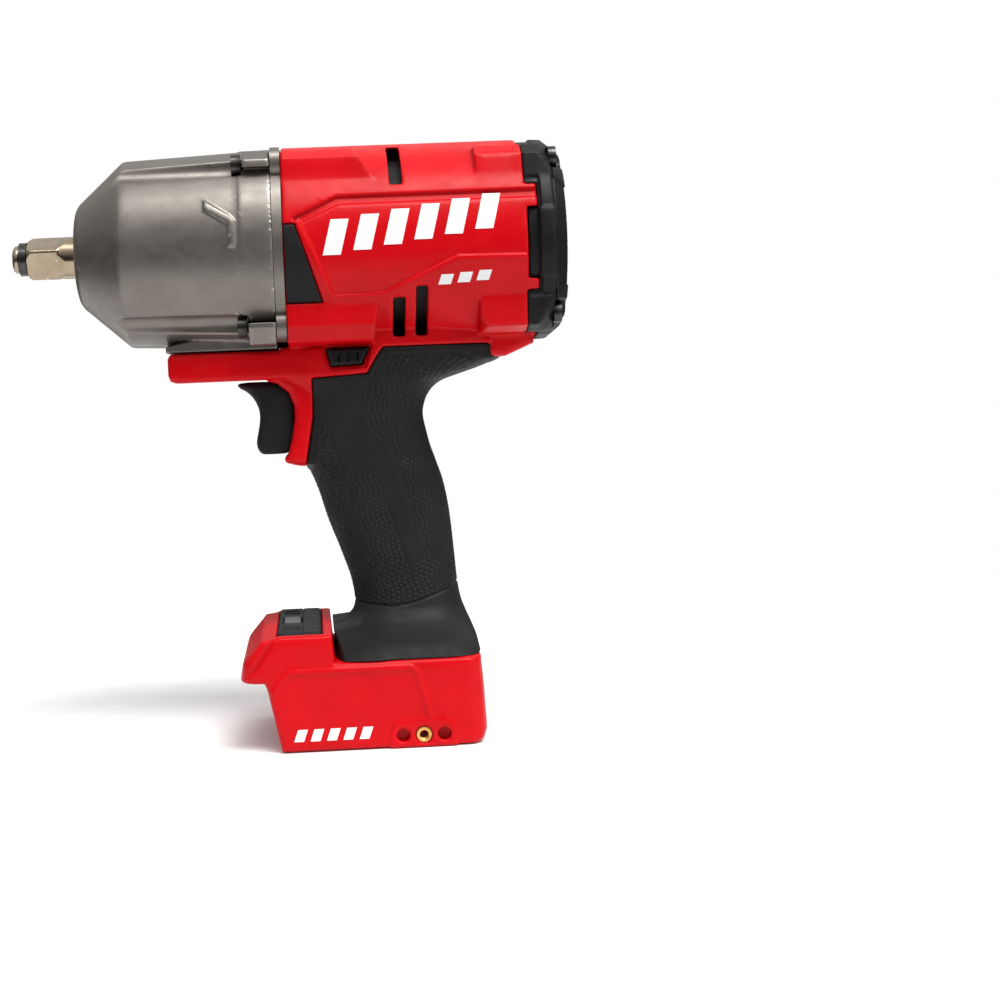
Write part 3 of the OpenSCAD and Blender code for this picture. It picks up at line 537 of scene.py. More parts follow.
# Posts for the screws that close the halves, and where their heads are sunk, on the right-hand side
POSTS = [
    (53, -44.5), (93, -45), (160, -42.5), (102, -90), (139, -112), (114, -131), (81, -156.4),
    (147, -158),
]

# ---- Housing ----

UPPER_BOSS = [(15, 10), (15, 34.6), (24.8, 34.6), (30.2, 31.2), (31.6, 20.5), (28, 10)]
LOWER_BOSS = [(15, -10), (28, -10), (31.8, -22), (31.0, -31), (27.5, -36.8), (15, -38.2)]
UPPER_CAP_BOSS = [(15, 10), (15, 34), (24, 34), (29.8, 30.2), (31.8, 21.5), (28, 10)]
LOWER_CAP_BOSS = [(15, -10), (28, -10), (31.8, -23), (30.2, -33.5), (24, -35.8), (15, -36)]
CAP_BOSS_X = 158.5

# The rear cap's collars reach this far forward, between these heights
STEP = 4.4
COLLAR_TOP = (18.2, 45)
COLLAR_LOW = (-45, -20.4)

LABEL_TOP = [(92.2, 7.7), (107.3, 14.6), (BODY_END + 4, 14.9)]
LABEL_RIDGE = [(92.0, 6.6), (104.0, -21.2), (123.3, -20.8), (150.6, -8.5), (175, -8.9)]
LABEL = LABEL_TOP + [(BODY_END + 4, -8.9), (150.6, -8.5), (123.3, -20.8), (104, -21.2)]
BUMPER = [(BODY_X - 4, 6.4), (BODY_X + 4.4, 6.4), (100.6, -22.4), (BODY_X - 4, -22.4)]
LIGHT_BAR = [
    (BAR_X, -40.6), (BAR_X + 1.2, -38.9), (83.0, -38.9), (84.0, -37.95), (88.5, -37.95),
    (88.5, -34), (100, -34), (100, -50), (BAR_X + 3, -50), (BAR_X + 0.9, -49.2), (BAR_X, -47),
]
FOOT = [
    (79, -144.2), (76.5, -145), (72.5, -145.5), (70.5, -148), (65, -154), (63, -160),
    (64, -161.3), (73, -161.5), (73.8, -163.5), (78.5, FOOT_Z), (150, FOOT_Z), (153.4, -186),
    (155.4, -182.5), (154.6, -168), (153.5, -154.7), (99.3, -154.7), (98.5, -144.2),
]
FOOT_RIDGE = [
    (74.5, -166.8), (77.1, -163.5), (80.9, -158.8), (82.7, -157.6), (127, -157.6),
    (129, -159.3), (133.6, -176.7),
]
FOOT_BACK = 155.8
FOOT_CORNER_R = 9.0
FOOT_TOE_R = 6.0
CLIP_PAD = [(118.1, -182), (120.4, -177.2), (139.3, -176.4), (143.1, -180), (143.1, -190), (118.1, -190)]

# The holes beside and in the belt clip's insert: distance along X, radius, depth
CLIP_HOLES = ((-7.55, 2.45, 3.5), (7.55, 2.45, 3.5), (0, 3.15, 4.3))
TOE_GROOVE = [(76.2, -146.4), (70.2, -155.5), (64.2, -161.5)]
GUARD = [
    (78, -49.5), (78.5, -50.6), (82, -51.6), (86, -55), (88, -60), (88, -65), (86.6, -73),
    (84.8, -79), (83.4, -80.4), (84.2, -81.8), (88, -82.9), (93, -83.6), (98, -80), (100, -65),
    (100, -49.5),
]
GUARD_HALF = 15.4
KEEL = [(150, -34), (BODY_END - 0.2, -34), (BODY_END - 0.2, -40), (169.3, -44.6), (150, -44.6)]
KEEL_HALF = 14

# Ribs across the barrel's inside: from and to along X, and the radius of their opening
RIBS = ((89.8, 92.8, 33.1), (139, 142, 28.6), (164, 167, 28.6))

# What is cut from a housing half: two corners, and how much the edges are rounded
HOUSING_CUTS = {
    "trigger's way": ((58, -TRIGGER_HALF - 0.5, -79.3), (98, 5, -50), 1.0),
    "upper vent": ((126.6, -45, 19.8), (131.4, -8, 35.5), 0.8),
    "lower front vent": ((126.4, -45, -35.6), (130.9, -8, -21.4), 0.8),
    "lower rear vent": ((134.9, -45, -35.6), (139.3, -8, -17.6), 0.8),
    "lamp": ((BAR_X - 4, -9.7, -47.7), (BAR_X + 5.5, 5, -41.1), 0.6),
    "foot panel": ((78, -33.5, -148), (95, 5, -140), 0.5),
    "cap's tongue": ((176.4, -45, -16.6), (190, -28, 9.8), 1.0),
    "cap's upper collar": ((BODY_END - STEP, -50, COLLAR_TOP[0]), (190, 10, COLLAR_TOP[1]), 1.0),
    "cap's lower collar": (
        (BODY_END - STEP, -50, COLLAR_LOW[0]),
        (190, -KEEL_HALF - 0.5, COLLAR_LOW[1]),
        1.0,
    ),
}


def across(b, outline):
    """An outline seen from the nose, as (|y|, z)."""
    return polygon(outline, np.abs(b.y), b.z)


def slope(u, v, point, to):
    """Distance past a slanting line in the side view, on the side to its right."""
    du, dv = to[0] - point[0], to[1] - point[1]
    return ((u - point[0]) * -dv + (v - point[1]) * du) / math.hypot(du, dv)


def add_barrel(b):
    """The round body, with the bosses for the gear case's screws and for the cap's."""
    part = b.near((84, -45, -45), (184, 5, 45))
    part.add(rod(part, BARREL_R, BODY_X, BODY_END, edge=1.4))
    upper = both(across(part, UPPER_BOSS), slab(part.x, BODY_X, 140), 1.2)
    part.add(both(upper, slope(part.x, part.z, (115.9, 31), (121.7, 21.6)), 0.8), 0.8)
    lower = both(across(part, LOWER_BOSS), slab(part.x, BODY_X, 121.7), 1.2)
    part.add(both(lower, slope(part.x, part.z, (121.7, -20), (118.6, -37)), 0.8), 0.8)
    for outline in (UPPER_CAP_BOSS, LOWER_CAP_BOSS):
        boss = both(across(part, outline), slab(part.x, CAP_BOSS_X, BODY_END), 1.0)
        part.add(both(boss, (CAP_BOSS_X - part.x) + (part.radius - 42.5), 0.8), 0.8)


def relief_on_barrel(b):
    """The label field with its groove and ridge, on the side of the barrel."""
    part = b.near((84, -45, -30), (184, -24, 24))
    label = polygon(LABEL, part.x, part.z)
    part.cut(both(label, BARREL_R - LABEL_SINK - part.radius), 0.7)
    groove = path_distance(LABEL_TOP, part.x, part.z) - 1.5
    part.cut(both(groove, BARREL_R - 1.5 - part.radius), 0.7)
    ridge = path_distance(LABEL_RIDGE, part.x, part.z) - 1.25
    ridge = both(ridge, slab(part.radius, BARREL_R - 2.2, BARREL_R + 0.35), 0.7)
    part.add(ridge, 0.7)


def add_foot(b):
    """The foot's outline in the side view, with rounded corners seen from above."""
    part = b.near((58, -42, -189.5), (160, 5, -140))
    outline = polygon(FOOT, part.x, part.z)
    plan = both(slab(part.y, -FOOT_HALF, FOOT_HALF), slab(part.x, 58, FOOT_BACK))
    past_x = np.maximum(part.x - (FOOT_BACK - FOOT_CORNER_R), 0)
    rear = np.hypot(past_x, np.maximum(-part.y - (FOOT_HALF - FOOT_CORNER_R), 0))
    front = np.hypot(np.maximum(70 - part.x, 0), np.maximum(-part.y - (FOOT_HALF - FOOT_TOE_R), 0))
    plan = both(both(plan, rear - FOOT_CORNER_R), front - FOOT_TOE_R)
    part.add(both(outline, plan, 2.6), 0.6)


def relief_on_foot(b):
    """The ridge, the belt clip's pad and the groove at the toe, on the foot's side."""
    part = b.near((58, -42, -189.5), (160, -28, -140))
    outline = polygon(FOOT, part.x, part.z)
    ridge = both(path_distance(FOOT_RIDGE, part.x, part.z) - 1.0, outline + 1.2, 0.6)
    part.add(both(ridge, slab(part.y, -FOOT_HALF - 0.55, -FOOT_HALF + 1.5), 0.6), 0.5)
    pad = polygon(CLIP_PAD, part.x, part.z)
    pad = both(pad, slab(part.y, -FOOT_HALF - 0.5, -FOOT_HALF + 1.5), 0.6)
    part.add(both(pad, FOOT_Z - part.z), 0.4)
    groove = path_distance(TOE_GROOVE, part.x, part.z) - 0.5
    part.cut(both(groove, FOOT_HALF - 0.9 - np.abs(part.y)), 0.3)


def lever_outline(grow):
    low, high = lever_low, lever_high
    return [
        (low[0] - grow, high[2] + grow),
        (high[0] + grow, high[2] + grow),
        (high[0] - 2.8 + grow, low[2] + 0.4 - grow),
        (low[0] + 1.6 - grow, low[2] - grow),
    ]


def lever_slot(b):
    """The way through for the direction lever, with a dished recess round its end."""
    way = polygon(lever_outline(0.35), b.x, b.z)
    dish = polygon(lever_outline(1.5), b.x, b.z)
    return np.minimum(way, both(dish, 19.2 - np.abs(b.y), 0.5))


def battery_rail(b):
    return brick(b, (80, -40, -183), (147, -29, -179), 0.8)


def build_housing():
    """The left half: outer shapes, hollowed, then what stands inside it and what is cut from it."""
    b = Block((37, -41.5, -189.6), (184, 1.6, 41.5), 0.5)
    add_barrel(b)
    bar = b.near((38, -20, -53), (102, 5, -32))
    bar.add(plate(bar, LIGHT_BAR, -BAR_HALF, BAR_HALF, 2.2), 0.6)
    keel = b.near((148, -20, -48), (184, 5, -30))
    keel.add(plate(keel, KEEL, -KEEL_HALF, KEEL_HALF, 3.0), 2.0)
    neck = b.near((74, -42, -156), (172, 5, -28))
    zone = grip_zone(neck)
    skin = both(handle(neck), -(zone - GRIP_GAP), 0.5)
    neck.add(np.minimum(skin, handle(neck, GRIP_T + 0.1)), 0.8)
    guard = b.near((76, -20, -86), (104, 5, -46))
    strip = both(polygon(GUARD, guard.x, guard.z), slab(guard.y, -GUARD_HALF, GUARD_HALF), 3.5)
    guard.add(both(strip, GRIP_GAP - grip_zone(guard), 0.4), 0.6)
    add_foot(b)
    relief_on_barrel(b)
    relief_on_foot(b)

    outside = b.d.copy()
    b.d[...] = np.maximum(b.d, -(b.d + WALL))
    b.cut(rod(b, BORE_R, BODY_X - 2, BODY_END + 2))

    def inner(low, high, shape, blend=0.0):
        """Adds something inside the shell, kept within its outer surface."""
        part = b.near(low, high)
        limit = copy.copy(b)
        limit.d = outside
        part.add(both(shape(part), limit.near(low, high).d + 0.6), blend)

    for x0, x1, r in RIBS:
        inner((x0 - 3, -42, -42), (x1 + 3, 5, 42), lambda p: np.maximum(rod(p, 39, x0, x1), r - p.radius))
    y = -SCREWS[0]
    for z in (SCREWS[1], -SCREWS[1]):
        inner(
            (84, -42, z - 14),
            (122, 5, z + 14),
            lambda p: np.maximum(rod(p, 6.3, BODY_X, 119, y, z), 33.3 - p.radius),
        )
    for x, z in POSTS:
        inner((x - 6, -42, z - 6), (x + 6, 5, z + 6), lambda p: rod_y(p, POST_R, -40, 5, x, z), 1.0)
    inner((70, -42, -166), (158, 5, -158), lambda p: slab(p.z, -163, -161))
    inner((114, -42, -189), (147, -28, -172), lambda p: brick(p, (117, -40, -190), (144.5, -32.6, -175)))
    inner((78, -42, -186), (150, -26, -176), battery_rail)
    inner((143, -42, -189), (158, 5, -160), lambda p: brick(p, (146, -40, -190), (149, 5, -161)))

    for low, high, edge in HOUSING_CUTS.values():
        part = b.near(np.array(low) - 4, np.array(high) + 4)
        part.cut(brick(part, low, high, edge), 0.5)
    slot = b.near((96, -45, -50), (122, 5, -34))
    slot.cut(lever_slot(slot), 0.4)
    bay = b.near((55, -36, -192), (150, 5, -161))
    opening = brick(bay, (50, -33, -195), (146, 5, -163))
    bay.cut(np.maximum(opening, -battery_rail(bay)), 0.4)
    lip = b.near((84, -45, -26), (104, -25, 10))
    lip.cut(both(polygon(BUMPER, lip.x, lip.z) - 0.15, BARREL_R - 1.6 - lip.radius), 0.3)
    for shift, r, deep in CLIP_HOLES:
        x = CLIP[0] + shift
        part = b.near((x - 5, -42, CLIP[2] - 5), (x + 5, -30, CLIP[2] + 5))
        part.cut(rod_y(part, r, -45, -FOOT_HALF + deep, x, CLIP[2]), 0.5)
    return b


def build_vent_liner():
    """The dark duct behind the vents."""
    b = Block((123, -37, -37), (143, 37, 37), 0.5)
    ring = slab(b.radius, 31.2, 33.2)
    stops = np.maximum(np.abs(b.y) - 9.5, slab(b.radius, 32.5, 36.4))
    b.d[...] = both(np.minimum(ring, stops), slab(b.x, 124.4, 141.6), 0.5)
    place(skinned(b, "vent_liner", 0.02), "housing", "black_plastic")


def drilled_copy(b, deep, edge):
    """A copy of a left half with the clamshell screws' holes, their heads sunk to y = deep."""
    right = copy.copy(b)
    right.d = b.d.copy()
    for x, z in POSTS:
        part = right.near((x - 6, -42, z - 6), (x + 6, 2, z + 6))
        if part.d.size:
            part.cut(rod_y(part, HEAD_R, -60, deep, x, z), edge)
            part.cut(rod_y(part, SHANK_R, -60, 5, x, z))
    return right


def place_halves(left, right, name, slot, cad_name, adaptivity):
    """Meshes the left half, and mirrors the drilled one to the right."""
    left_piece = skinned(left, f"left_{name}", adaptivity)
    mirrored = skinned(right, f"right_{name}_mirrored", adaptivity)
    right_piece = other_side(mirrored, f"right_{name}")
    bpy.data.objects.remove(mirrored)
    place(left_piece, "housing", slot, f"left_{cad_name}")
    place(right_piece, "housing", slot, f"right_{cad_name}")


def build_both_housings():
    b = build_housing()
    right = drilled_copy(b, -7.2, 0.5)
    for half in (b, right):
        half.keep(half.y + 0.1, 0.7)
    place_halves(b, right, "shell", "red_plastic", "housing", 0.02)


# ---- Grip ----

FRONT_PANEL = [
    (60, -72), (98.4, -67.3), (99.9, -68.5), (103.8, -79.2), (118.3, -88.9), (126.1, -113.2),
    (129, -122.5), (129, -150), (60, -150),
]
REAR_PANEL = [
    (122.2, -42.4), (151.5, -42.4), (175, -52), (175, -150), (127, -150), (129, -123.5),
    (133.4, -120), (131, -101.6), (126.6, -84), (124.7, -77.7), (118.3, -71.4), (116.9, -69.5),
    (113.7, -58.8), (113.5, -56.8),
]
GRIP_ROOT = [(99.2, -144.8), (110, -143.5), (116, -154.9), (102.8, -154.9)]
NECK_SEAM = [
    (60, -134), (107.6, -136.1), (122.2, -137.4), (131, -136.1), (138.8, -133.7),
    (146.3, -131.2), (175, -121),
]
SCALE_PITCH = 1.7
SCALE_HEIGHT = 0.6
PANEL_SINK = 0.55
PANEL_RIM = 0.35
SEAM_SINK = 0.5


def scales(b):
    """Rows of small overlapping bumps that run down the handle in wavy columns, from 0 to 1."""
    middle = 122 - (b.z + 100) * -0.02
    around = np.arctan2(b.y, (b.x - middle) * 0.8) * 19
    column = around / SCALE_PITCH + 0.5 * np.sin(b.z * (2 * math.pi / 13))
    row = b.z / SCALE_PITCH + 0.5 * (np.floor(column) % 2)
    u = 2 * (column - np.floor(column)) - 1
    v = 2 * (row - np.floor(row)) - 1
    return np.sqrt(np.maximum(1 - u * u, 0)) * np.sqrt(np.maximum(1 - v * v, 0))


def build_grips():
    b = Block((80, -39, -156.5), (172, 1.2, -37), 0.34)
    flare = np.maximum(np.abs(b.y) - 22 + (b.z + 144.8) * 1.45, np.abs(b.y) - 36.6)
    root = both(polygon(GRIP_ROOT, b.x, b.z), flare, 2.0)
    surface = soft_min(handle(b), root, 4.0)
    above_seam = polygon(NECK_SEAM + [(175, -20), (60, -20)], b.x, b.z)
    textured = np.minimum(polygon(FRONT_PANEL, b.x, b.z), polygon(REAR_PANEL, b.x, b.z))
    textured = np.maximum(textured, above_seam)
    textured = np.maximum(textured, grip_zone(b) + 2.2)
    share = np.clip(-textured / 0.8, 0, 1)
    rim = np.clip(1 - np.abs(textured) / 0.7, 0, 1)
    seam = np.clip(1 - np.abs(above_seam) / 0.6, 0, 1)
    surface = surface + share * PANEL_SINK + rim * PANEL_RIM + seam * SEAM_SINK
    surface = surface - share * scales(b) * SCALE_HEIGHT
    b.d[...] = both(both(surface, grip_zone(b) + GRIP_GAP, 1.0), HANDLE[0][0] - b.z)
    b.cut(handle(b, GRIP_T))
    b.cut(rod(b, BARREL_R + 0.15, 80, 182))
    b.keep(b.y + 0.08, 0.6)
    slot = b.near((96, -40, -50), (122, 2, -37))
    slot.cut(lever_slot(slot), 0.4)
    place_halves(b, drilled_copy(b, 5, 0.6), "rubber", "rubber", "grip", 0.01)


def build_bumpers():
    b = Block((84, -41, -26), (104, -24, 10), 0.25)
    outline = polygon(BUMPER, b.x, b.z) + 0.25
    b.d[...] = both(outline, slab(b.radius, BARREL_R - 1.5, BARREL_R + 0.15), 0.8)
    b.keep(BODY_X + 0.4 - b.x, 0.6)
    left_piece = skinned(b, "left_side_insert")
    place(left_piece, "housing", "rubber", "left_bumper")
    place(other_side(left_piece, "right_side_insert"), "housing", "rubber", "right_bumper")


# ---- Gear case and cap ----


CASE_LIP = CASE_END - 0.05
SKIRT = [(40.6, -36), (53, -33.5), (CASE_LIP, -33), (CASE_LIP, -38.6), (40.6, -38.6)]
CASE_RIB = [(58.5, 16.4), (67.4, 10.6), (69.3, 8.6), (69.3, -1), (66.9, -1), (66.9, 7.4), (58.5, 12.8)]


def corners(corner):
    return [(sy * corner[0], sz * corner[1]) for sy in (-1, 1) for sz in (-1, 1)]


def build_gear_case():
    b = Block((5, -46, -42), (CASE_END + 2, 46, 42), 0.45)
    shoulder = NOSE_X + 19
    b.d[...] = turned(b, [
        (NOSE_X, -5),
        (NOSE_X, 16.6),
        (NOSE_X + 0.5, 18.4),
        (NOSE_X + 1.7, 20.2),
        (shoulder - 1.2, 34.6),
        (shoulder - 0.2, 35.4),
        (shoulder + 1.5, 35.7),
        (70.6, 37.6),
        (71.2, 38.0),
        (CASE_LIP, 38.2),
        (CASE_LIP, -5),
    ])
    for y, z in corners(SCREWS):
        (y0, y1), (z0, z1) = sorted((y, 2 * y)), sorted((z, 2 * z))
        part = b.near((68, y0 - 1, z0 - 1), (CASE_END + 2, y1 + 1, z1 + 1))
        outline = UPPER_BOSS if z > 0 else LOWER_BOSS
        boss = both(across(part, outline), slab(part.x, 72.6, CASE_LIP), 1.0)
        part.add(np.maximum(boss, np.hypot(np.abs(part.y) - 24, np.abs(part.z) - 29) - 12), 1.0)
    skirt = b.near((36, -20, -42), (CASE_END + 2, 20, -30))
    skirt.add(plate(skirt, SKIRT, -15, 15, 1.0), 0.5)
    for y0, y1 in ((-44, -28), (28, 44)):
        part = b.near((55, y0, -5), (73, y1, 20))
        part.add(both(polygon(CASE_RIB, part.x, part.z), slab(part.radius, 35, 38.25), 0.8), 0.8)
    for y, z in corners(SCREWS):
        b.cut(rod(b, 5.2, shoulder - 3, 72.4, y, z, edge=0.8), 0.9)
        b.cut(rod(b, CASE_SCREW_R, 60, CASE_END + 3, y, z))
    b.cut(turned(b, [
        (NOSE_X - 3, -5),
        (NOSE_X - 3, 10.4),
        (NOSE_X + 0.4, 10.2),
        (NOSE_X + 0.4, 11.02),
        (shoulder, 11.02),
        (shoulder, 30),
        (75.5, 30),
        (75.5, 32.3),
        (CASE_END + 3, 32.3),
        (CASE_END + 3, -5),
    ]))
    place(skinned(b, "gear_case_casting", 0.01), "housing", "cast_case", "gear_case")


def build_rear_cap():
    b = Block((175, -41, -41), (CAP_END + 2.5, 41, 41), 0.4)
    x = BODY_END + 0.15
    collar_x = BODY_END - STEP + 0.15
    seat_x = x + 6.4
    b.d[...] = turned(b, [
        (x - 4, -5),
        (x - 4, BORE_R - 0.3),
        (x, BORE_R - 0.3),
        (x, 37.2),
        (x + 0.9, 37.4),
        (x + 1.3, 38.5),
        (x + 5.4, 38.3),
        (x + 10.8, 34.0),
        (CAP_END - 1.9, 29.5),
        (CAP_END, 15),
        (CAP_END, -5),
    ])
    collars = ((COLLAR_TOP, UPPER_CAP_BOSS, 0), (COLLAR_LOW, LOWER_CAP_BOSS, KEEL_HALF + 0.8))
    for (z0, z1), outline, clear in collars:
        part = b.near((170, -42, z0 - 1), (CAP_END, 42, z1 + 1))
        collar = both(slab(part.radius, 33.6, 37.6), slab(part.x, collar_x, x + 1), 0.8)
        collar = both(both(collar, slab(part.z, z0 + 0.15, z1 - 0.15), 0.6), clear - np.abs(part.y))
        boss = both(across(part, outline), slab(part.x, collar_x, x + 11.4), 0.8)
        boss = both(boss, 30 - part.radius, 0.3)
        part.add(collar)
        part.add(both(boss, part.x - x - 11.4 + 1.1 * (part.radius - 34), 1.0), 0.5)
    for y0, y1 in ((-42, -25), (25, 42)):
        part = b.near((175, y0, -20), (CAP_END, y1, 14))
        block = both(slab(part.z, -16.2, 9.4), slab(part.x, BODY_END + 0.4, CAP_END - 5.5), 1.0)
        part.add(both(block, slab(part.radius, 30, 39.1), 1.2), 0.8)
        tongue = both(slab(part.z, -16.0, 9.2), slab(part.x, 177, BODY_END + 2), 0.5)
        part.add(both(tongue, slab(part.radius, 33.5, 36.2), 0.6), 0.4)
    seam = both(slab(b.x, x + 6.1, x + 6.7), 37.0 - b.radius)
    b.cut(seam, 0.2)
    for y, z in corners(CAP_SCREWS):
        part = b.near((175, y - 13, z - 9), (CAP_END + 2.5, y + 13, z + 9))
        part.cut(rod(part, 4.7, seat_x, CAP_END + 4, y, z), 0.6)
        y0, y1 = sorted((y, y + math.copysign(12, y)))
        part.cut(brick(part, (seat_x, y0, z - 4.4), (x + 11.2, y1, z + 4.4), 1.0), 0.6)
        part.cut(rod(part, CASE_SCREW_R, 170, CAP_END + 4, y, z))
    for z in range(-18, 19, 6):
        part = b.near((CAP_END - 4, -30, z - 3), (CAP_END + 2.5, 30, z + 3))
        for y0, y1 in ((-21, -16.5), (16.5, 21)):
            air_slot = brick(part, (CAP_END - 1.9, y0, z - 0.9), (CAP_END + 3, y1, z + 0.9), 0.4)
            part.cut(air_slot, 0.4)
    hollow = turned(b, [
        (x - 6, -5),
        (x - 6, BORE_R - 2.8),
        (x + 6, BORE_R - 2.8),
        (CAP_END - 2.6, 27),
        (CAP_END - 2.6, -5),
    ])
    b.cut(np.maximum(hollow, 13 - b.radius))
    b.cut(rod(b, 9.5, 170, BODY_END + 0.6))
    place(skinned(b, "rear_cap_cover", 0.01), "housing", "black_plastic", "rear_cap")


def build_rear_badge():
    badge = Block((CAP_END - 2, -18, -13), (CAP_END + 3, 18, 13), 0.3)
    face = both(slab(badge.y, -14.8, 14.8), slab(badge.z, -9.8, 9.8), 5.0)
    badge.d[...] = both(face, slab(badge.x, CAP_END - 0.6, CAP_END + 1.75), 0.8)
    badge.cut(both(face + 1.8, slab(badge.x, CAP_END + 1.35, CAP_END + 3)), 0.3)
    place(skinned(badge, "rear_badge_plate"), "housing", "red_plastic", "rear_badge")


# ---- Drive end ----


# Turned outlines, as (x, radius): the square's rounded end, and the tip that holds the friction ring
SQUARE_END = [(-11.5, -3), (-11.5, 6.7), (-9.6, 8.4), (1, 8.6), (1, -3)]
DRIVE_TIP = [
    (-16.9, -3), (-17, 3.8), (-16.6, 4.6), (-15.9, 5.3), (-14.6, 5.35), (-14.5, 4.1),
    (-11, 4.1), (-11, -3),
]
SQUARE_HALF = 6.35
SQUARE_TURN = math.radians(29)
RUN_OUT_R = 7


def build_anvil():
    b = Block((square_low[0] - 1, -24, -24), (square_high[0] + 1, 24, 24), 0.3)
    turn, half = SQUARE_TURN, SQUARE_HALF
    across_flats = b.y * math.cos(turn) + b.z * math.sin(turn)
    up_flats = b.z * math.cos(turn) - b.y * math.sin(turn)
    square = both(np.abs(across_flats) - half, np.abs(up_flats) - half, 0.8)
    b.d[...] = both(both(square, slab(b.x, -11.5, 1)), turned(b, SQUARE_END), 0.5)
    b.add(turned(b, DRIVE_TIP))
    neck = rod(b, 8.0, -0.5, 29)
    for flat in (across_flats, up_flats):
        run_out = np.hypot(b.x + 1.5, np.abs(flat) - half - RUN_OUT_R) - RUN_OUT_R
        neck = both(neck, -run_out, 0.5)
        neck = both(neck, np.abs(flat) - half - np.maximum(b.x + 1.5, 0) * 2, 0.3)
    b.add(neck, 0.3)
    b.add(rod(b, 10.8, 27.5, 36.5, edge=0.8))
    angle = np.arctan2(np.abs(b.y), np.abs(b.z))
    ear = both(b.radius * np.sin(angle - math.radians(22)), b.radius - 22.5, 1.0)
    b.add(both(ear, slab(b.x, 27.5, 36.5), 1.0), 0.8)
    b.cut(rod(b, 5.06, 24.5, 40))
    place(skinned(b, "anvil_forging"), "anvil", "nickel", "anvil")


# ---- Trigger, lever and lamp ----

TRIGGER = [
    (66.5, -50.6), (67.0, -52.6), (70.2, -54.2), (72.8, -57), (74.6, -61), (74.8, -65),
    (73.8, -70), (72.8, -74.5), (74.4, -78.3), (78, -78.5), (85.8, -78.4), (87.8, -75),
    (88.8, -66), (88.4, -57), (85, -51.4), (80, -50.6),
]


def build_trigger():
    b = Block((63, -12, -81), (102, 12, -48), 0.3)
    b.d[...] = plate(b, softened(TRIGGER), -TRIGGER_HALF, TRIGGER_HALF, 3.4)
    for z in range(-58, -74, -3):
        b.cut(both(slab(b.z, z - 0.35, z + 0.35), np.maximum(np.abs(b.y) - 6.5, b.x - 76)), 0.5)
    peg_z = TRIGGER_SPRING_Z
    b.cut(np.maximum(rod(b, 4.6, 81, 95, z=peg_z), -rod(b, 2, 60, 100, z=peg_z)))
    b.add(rod(b, 2, 80, 100, z=peg_z))
    place(skinned(b, "trigger_paddle"), "trigger", "rubber", "trigger")


def build_trigger_spring():
    """Drawn at its squeezed length, because the trigger closes on it in the poses."""
    low, high = span("trigger_spring")
    wire, turns, around, steps = 0.5, 6, 12, 32
    start = low[0] + TRIGGER_PULL + 0.3 + wire
    t = np.linspace(0, 1, turns * steps + 1)[:, None]
    a = np.arange(around)[None, :] * (2 * math.pi / around)
    coil = (high[2] - low[2]) / 2 - wire + wire * np.cos(a)
    turn = t * turns * 2 * math.pi
    x = start + (high[0] - wire - start) * t + wire * np.sin(a)
    z = (low[2] + high[2]) / 2 + coil * np.sin(turn)
    points = np.stack([x, coil * np.cos(turn), z], -1).reshape(-1, 3) * MM
    ring = np.arange(len(points)).reshape(-1, around)
    after = np.roll(ring, -1, axis=1)
    sides = np.stack([ring[:-1], ring[1:], after[1:], after[:-1]], -1).reshape(-1, 4)
    piece = mesh_object("trigger_return_spring", points, [sides, ring[:1], ring[-1:, ::-1]])
    place(piece, "housing", "spring", "trigger_spring")


def build_lever():
    low, high = lever_low, lever_high
    b = Block(low - 1.5, high + 1.5, 0.3)
    b.d[...] = plate(b, lever_outline(0), low[1], high[1], 1.6)
    b.add(plate(b, lever_outline(0.5), -9, 9))
    for end in (-1, 1):
        for x in (105.5, 109, 112.5):
            groove = both(slab(b.x, x - 0.4, x + 0.4), slab(b.y, end * 22 - 1.2, end * 22 + 1.2))
            b.cut(both(groove, slab(b.z, -44.2, -41)), 0.4)
    place(skinned(b, "direction_bar"), "direction_lever", "black_plastic", "direction_lever")


def build_lens():
    low, high = lens_low, lens_high
    b = Block(low - 1, high + 1, 0.22)
    b.d[...] = brick(b, low, high, 1.4)
    for y in (-6, -3, 0, 3, 6):
        b.cut(rod(b, 0.9, low[0] - 1, low[0] + 0.5, y, (low[2] + high[2]) / 2), 0.8)
    place(skinned(b, "lamp_window"), "housing", "lens", "light_lens")


# ---- Foot fittings ----


def build_panel():
    low, high = panel_low, panel_high
    b = Block(low - 1, high + 1, 0.35)
    b.d[...] = brick(b, low, high, 1.6)
    b.cut(brick(b, button_low - 0.4, button_high + np.array([0.4, 0.4, 9]), 0.6), 0.3)
    for y in (-24, -18, 18, 24):
        window = both(slab(b.y, y - 2, y + 2), slab(b.x, 80.5, 86.5))
        b.cut(both(window, high[2] - 0.7 - b.z), 0.3)
    b.cut(both(slab(b.x, 87.6, 88.0), high[2] - 0.5 - b.z), 0.2)
    place(skinned(b, "foot_panel"), "housing", "black_plastic", "control_panel")


def build_mode_key():
    low, high = button_low, button_high
    b = Block(low - 1, high + 1, 0.22)
    b.d[...] = brick(b, low, high, 1.2)
    ring = np.hypot(b.x - (low[0] + high[0]) / 2, b.y) - 1.8
    b.cut(both(np.abs(ring) - 0.3, high[2] - 0.35 - b.z), 0.2)
    place(skinned(b, "mode_key"), "mode_button", "grey_plastic", "mode_button")


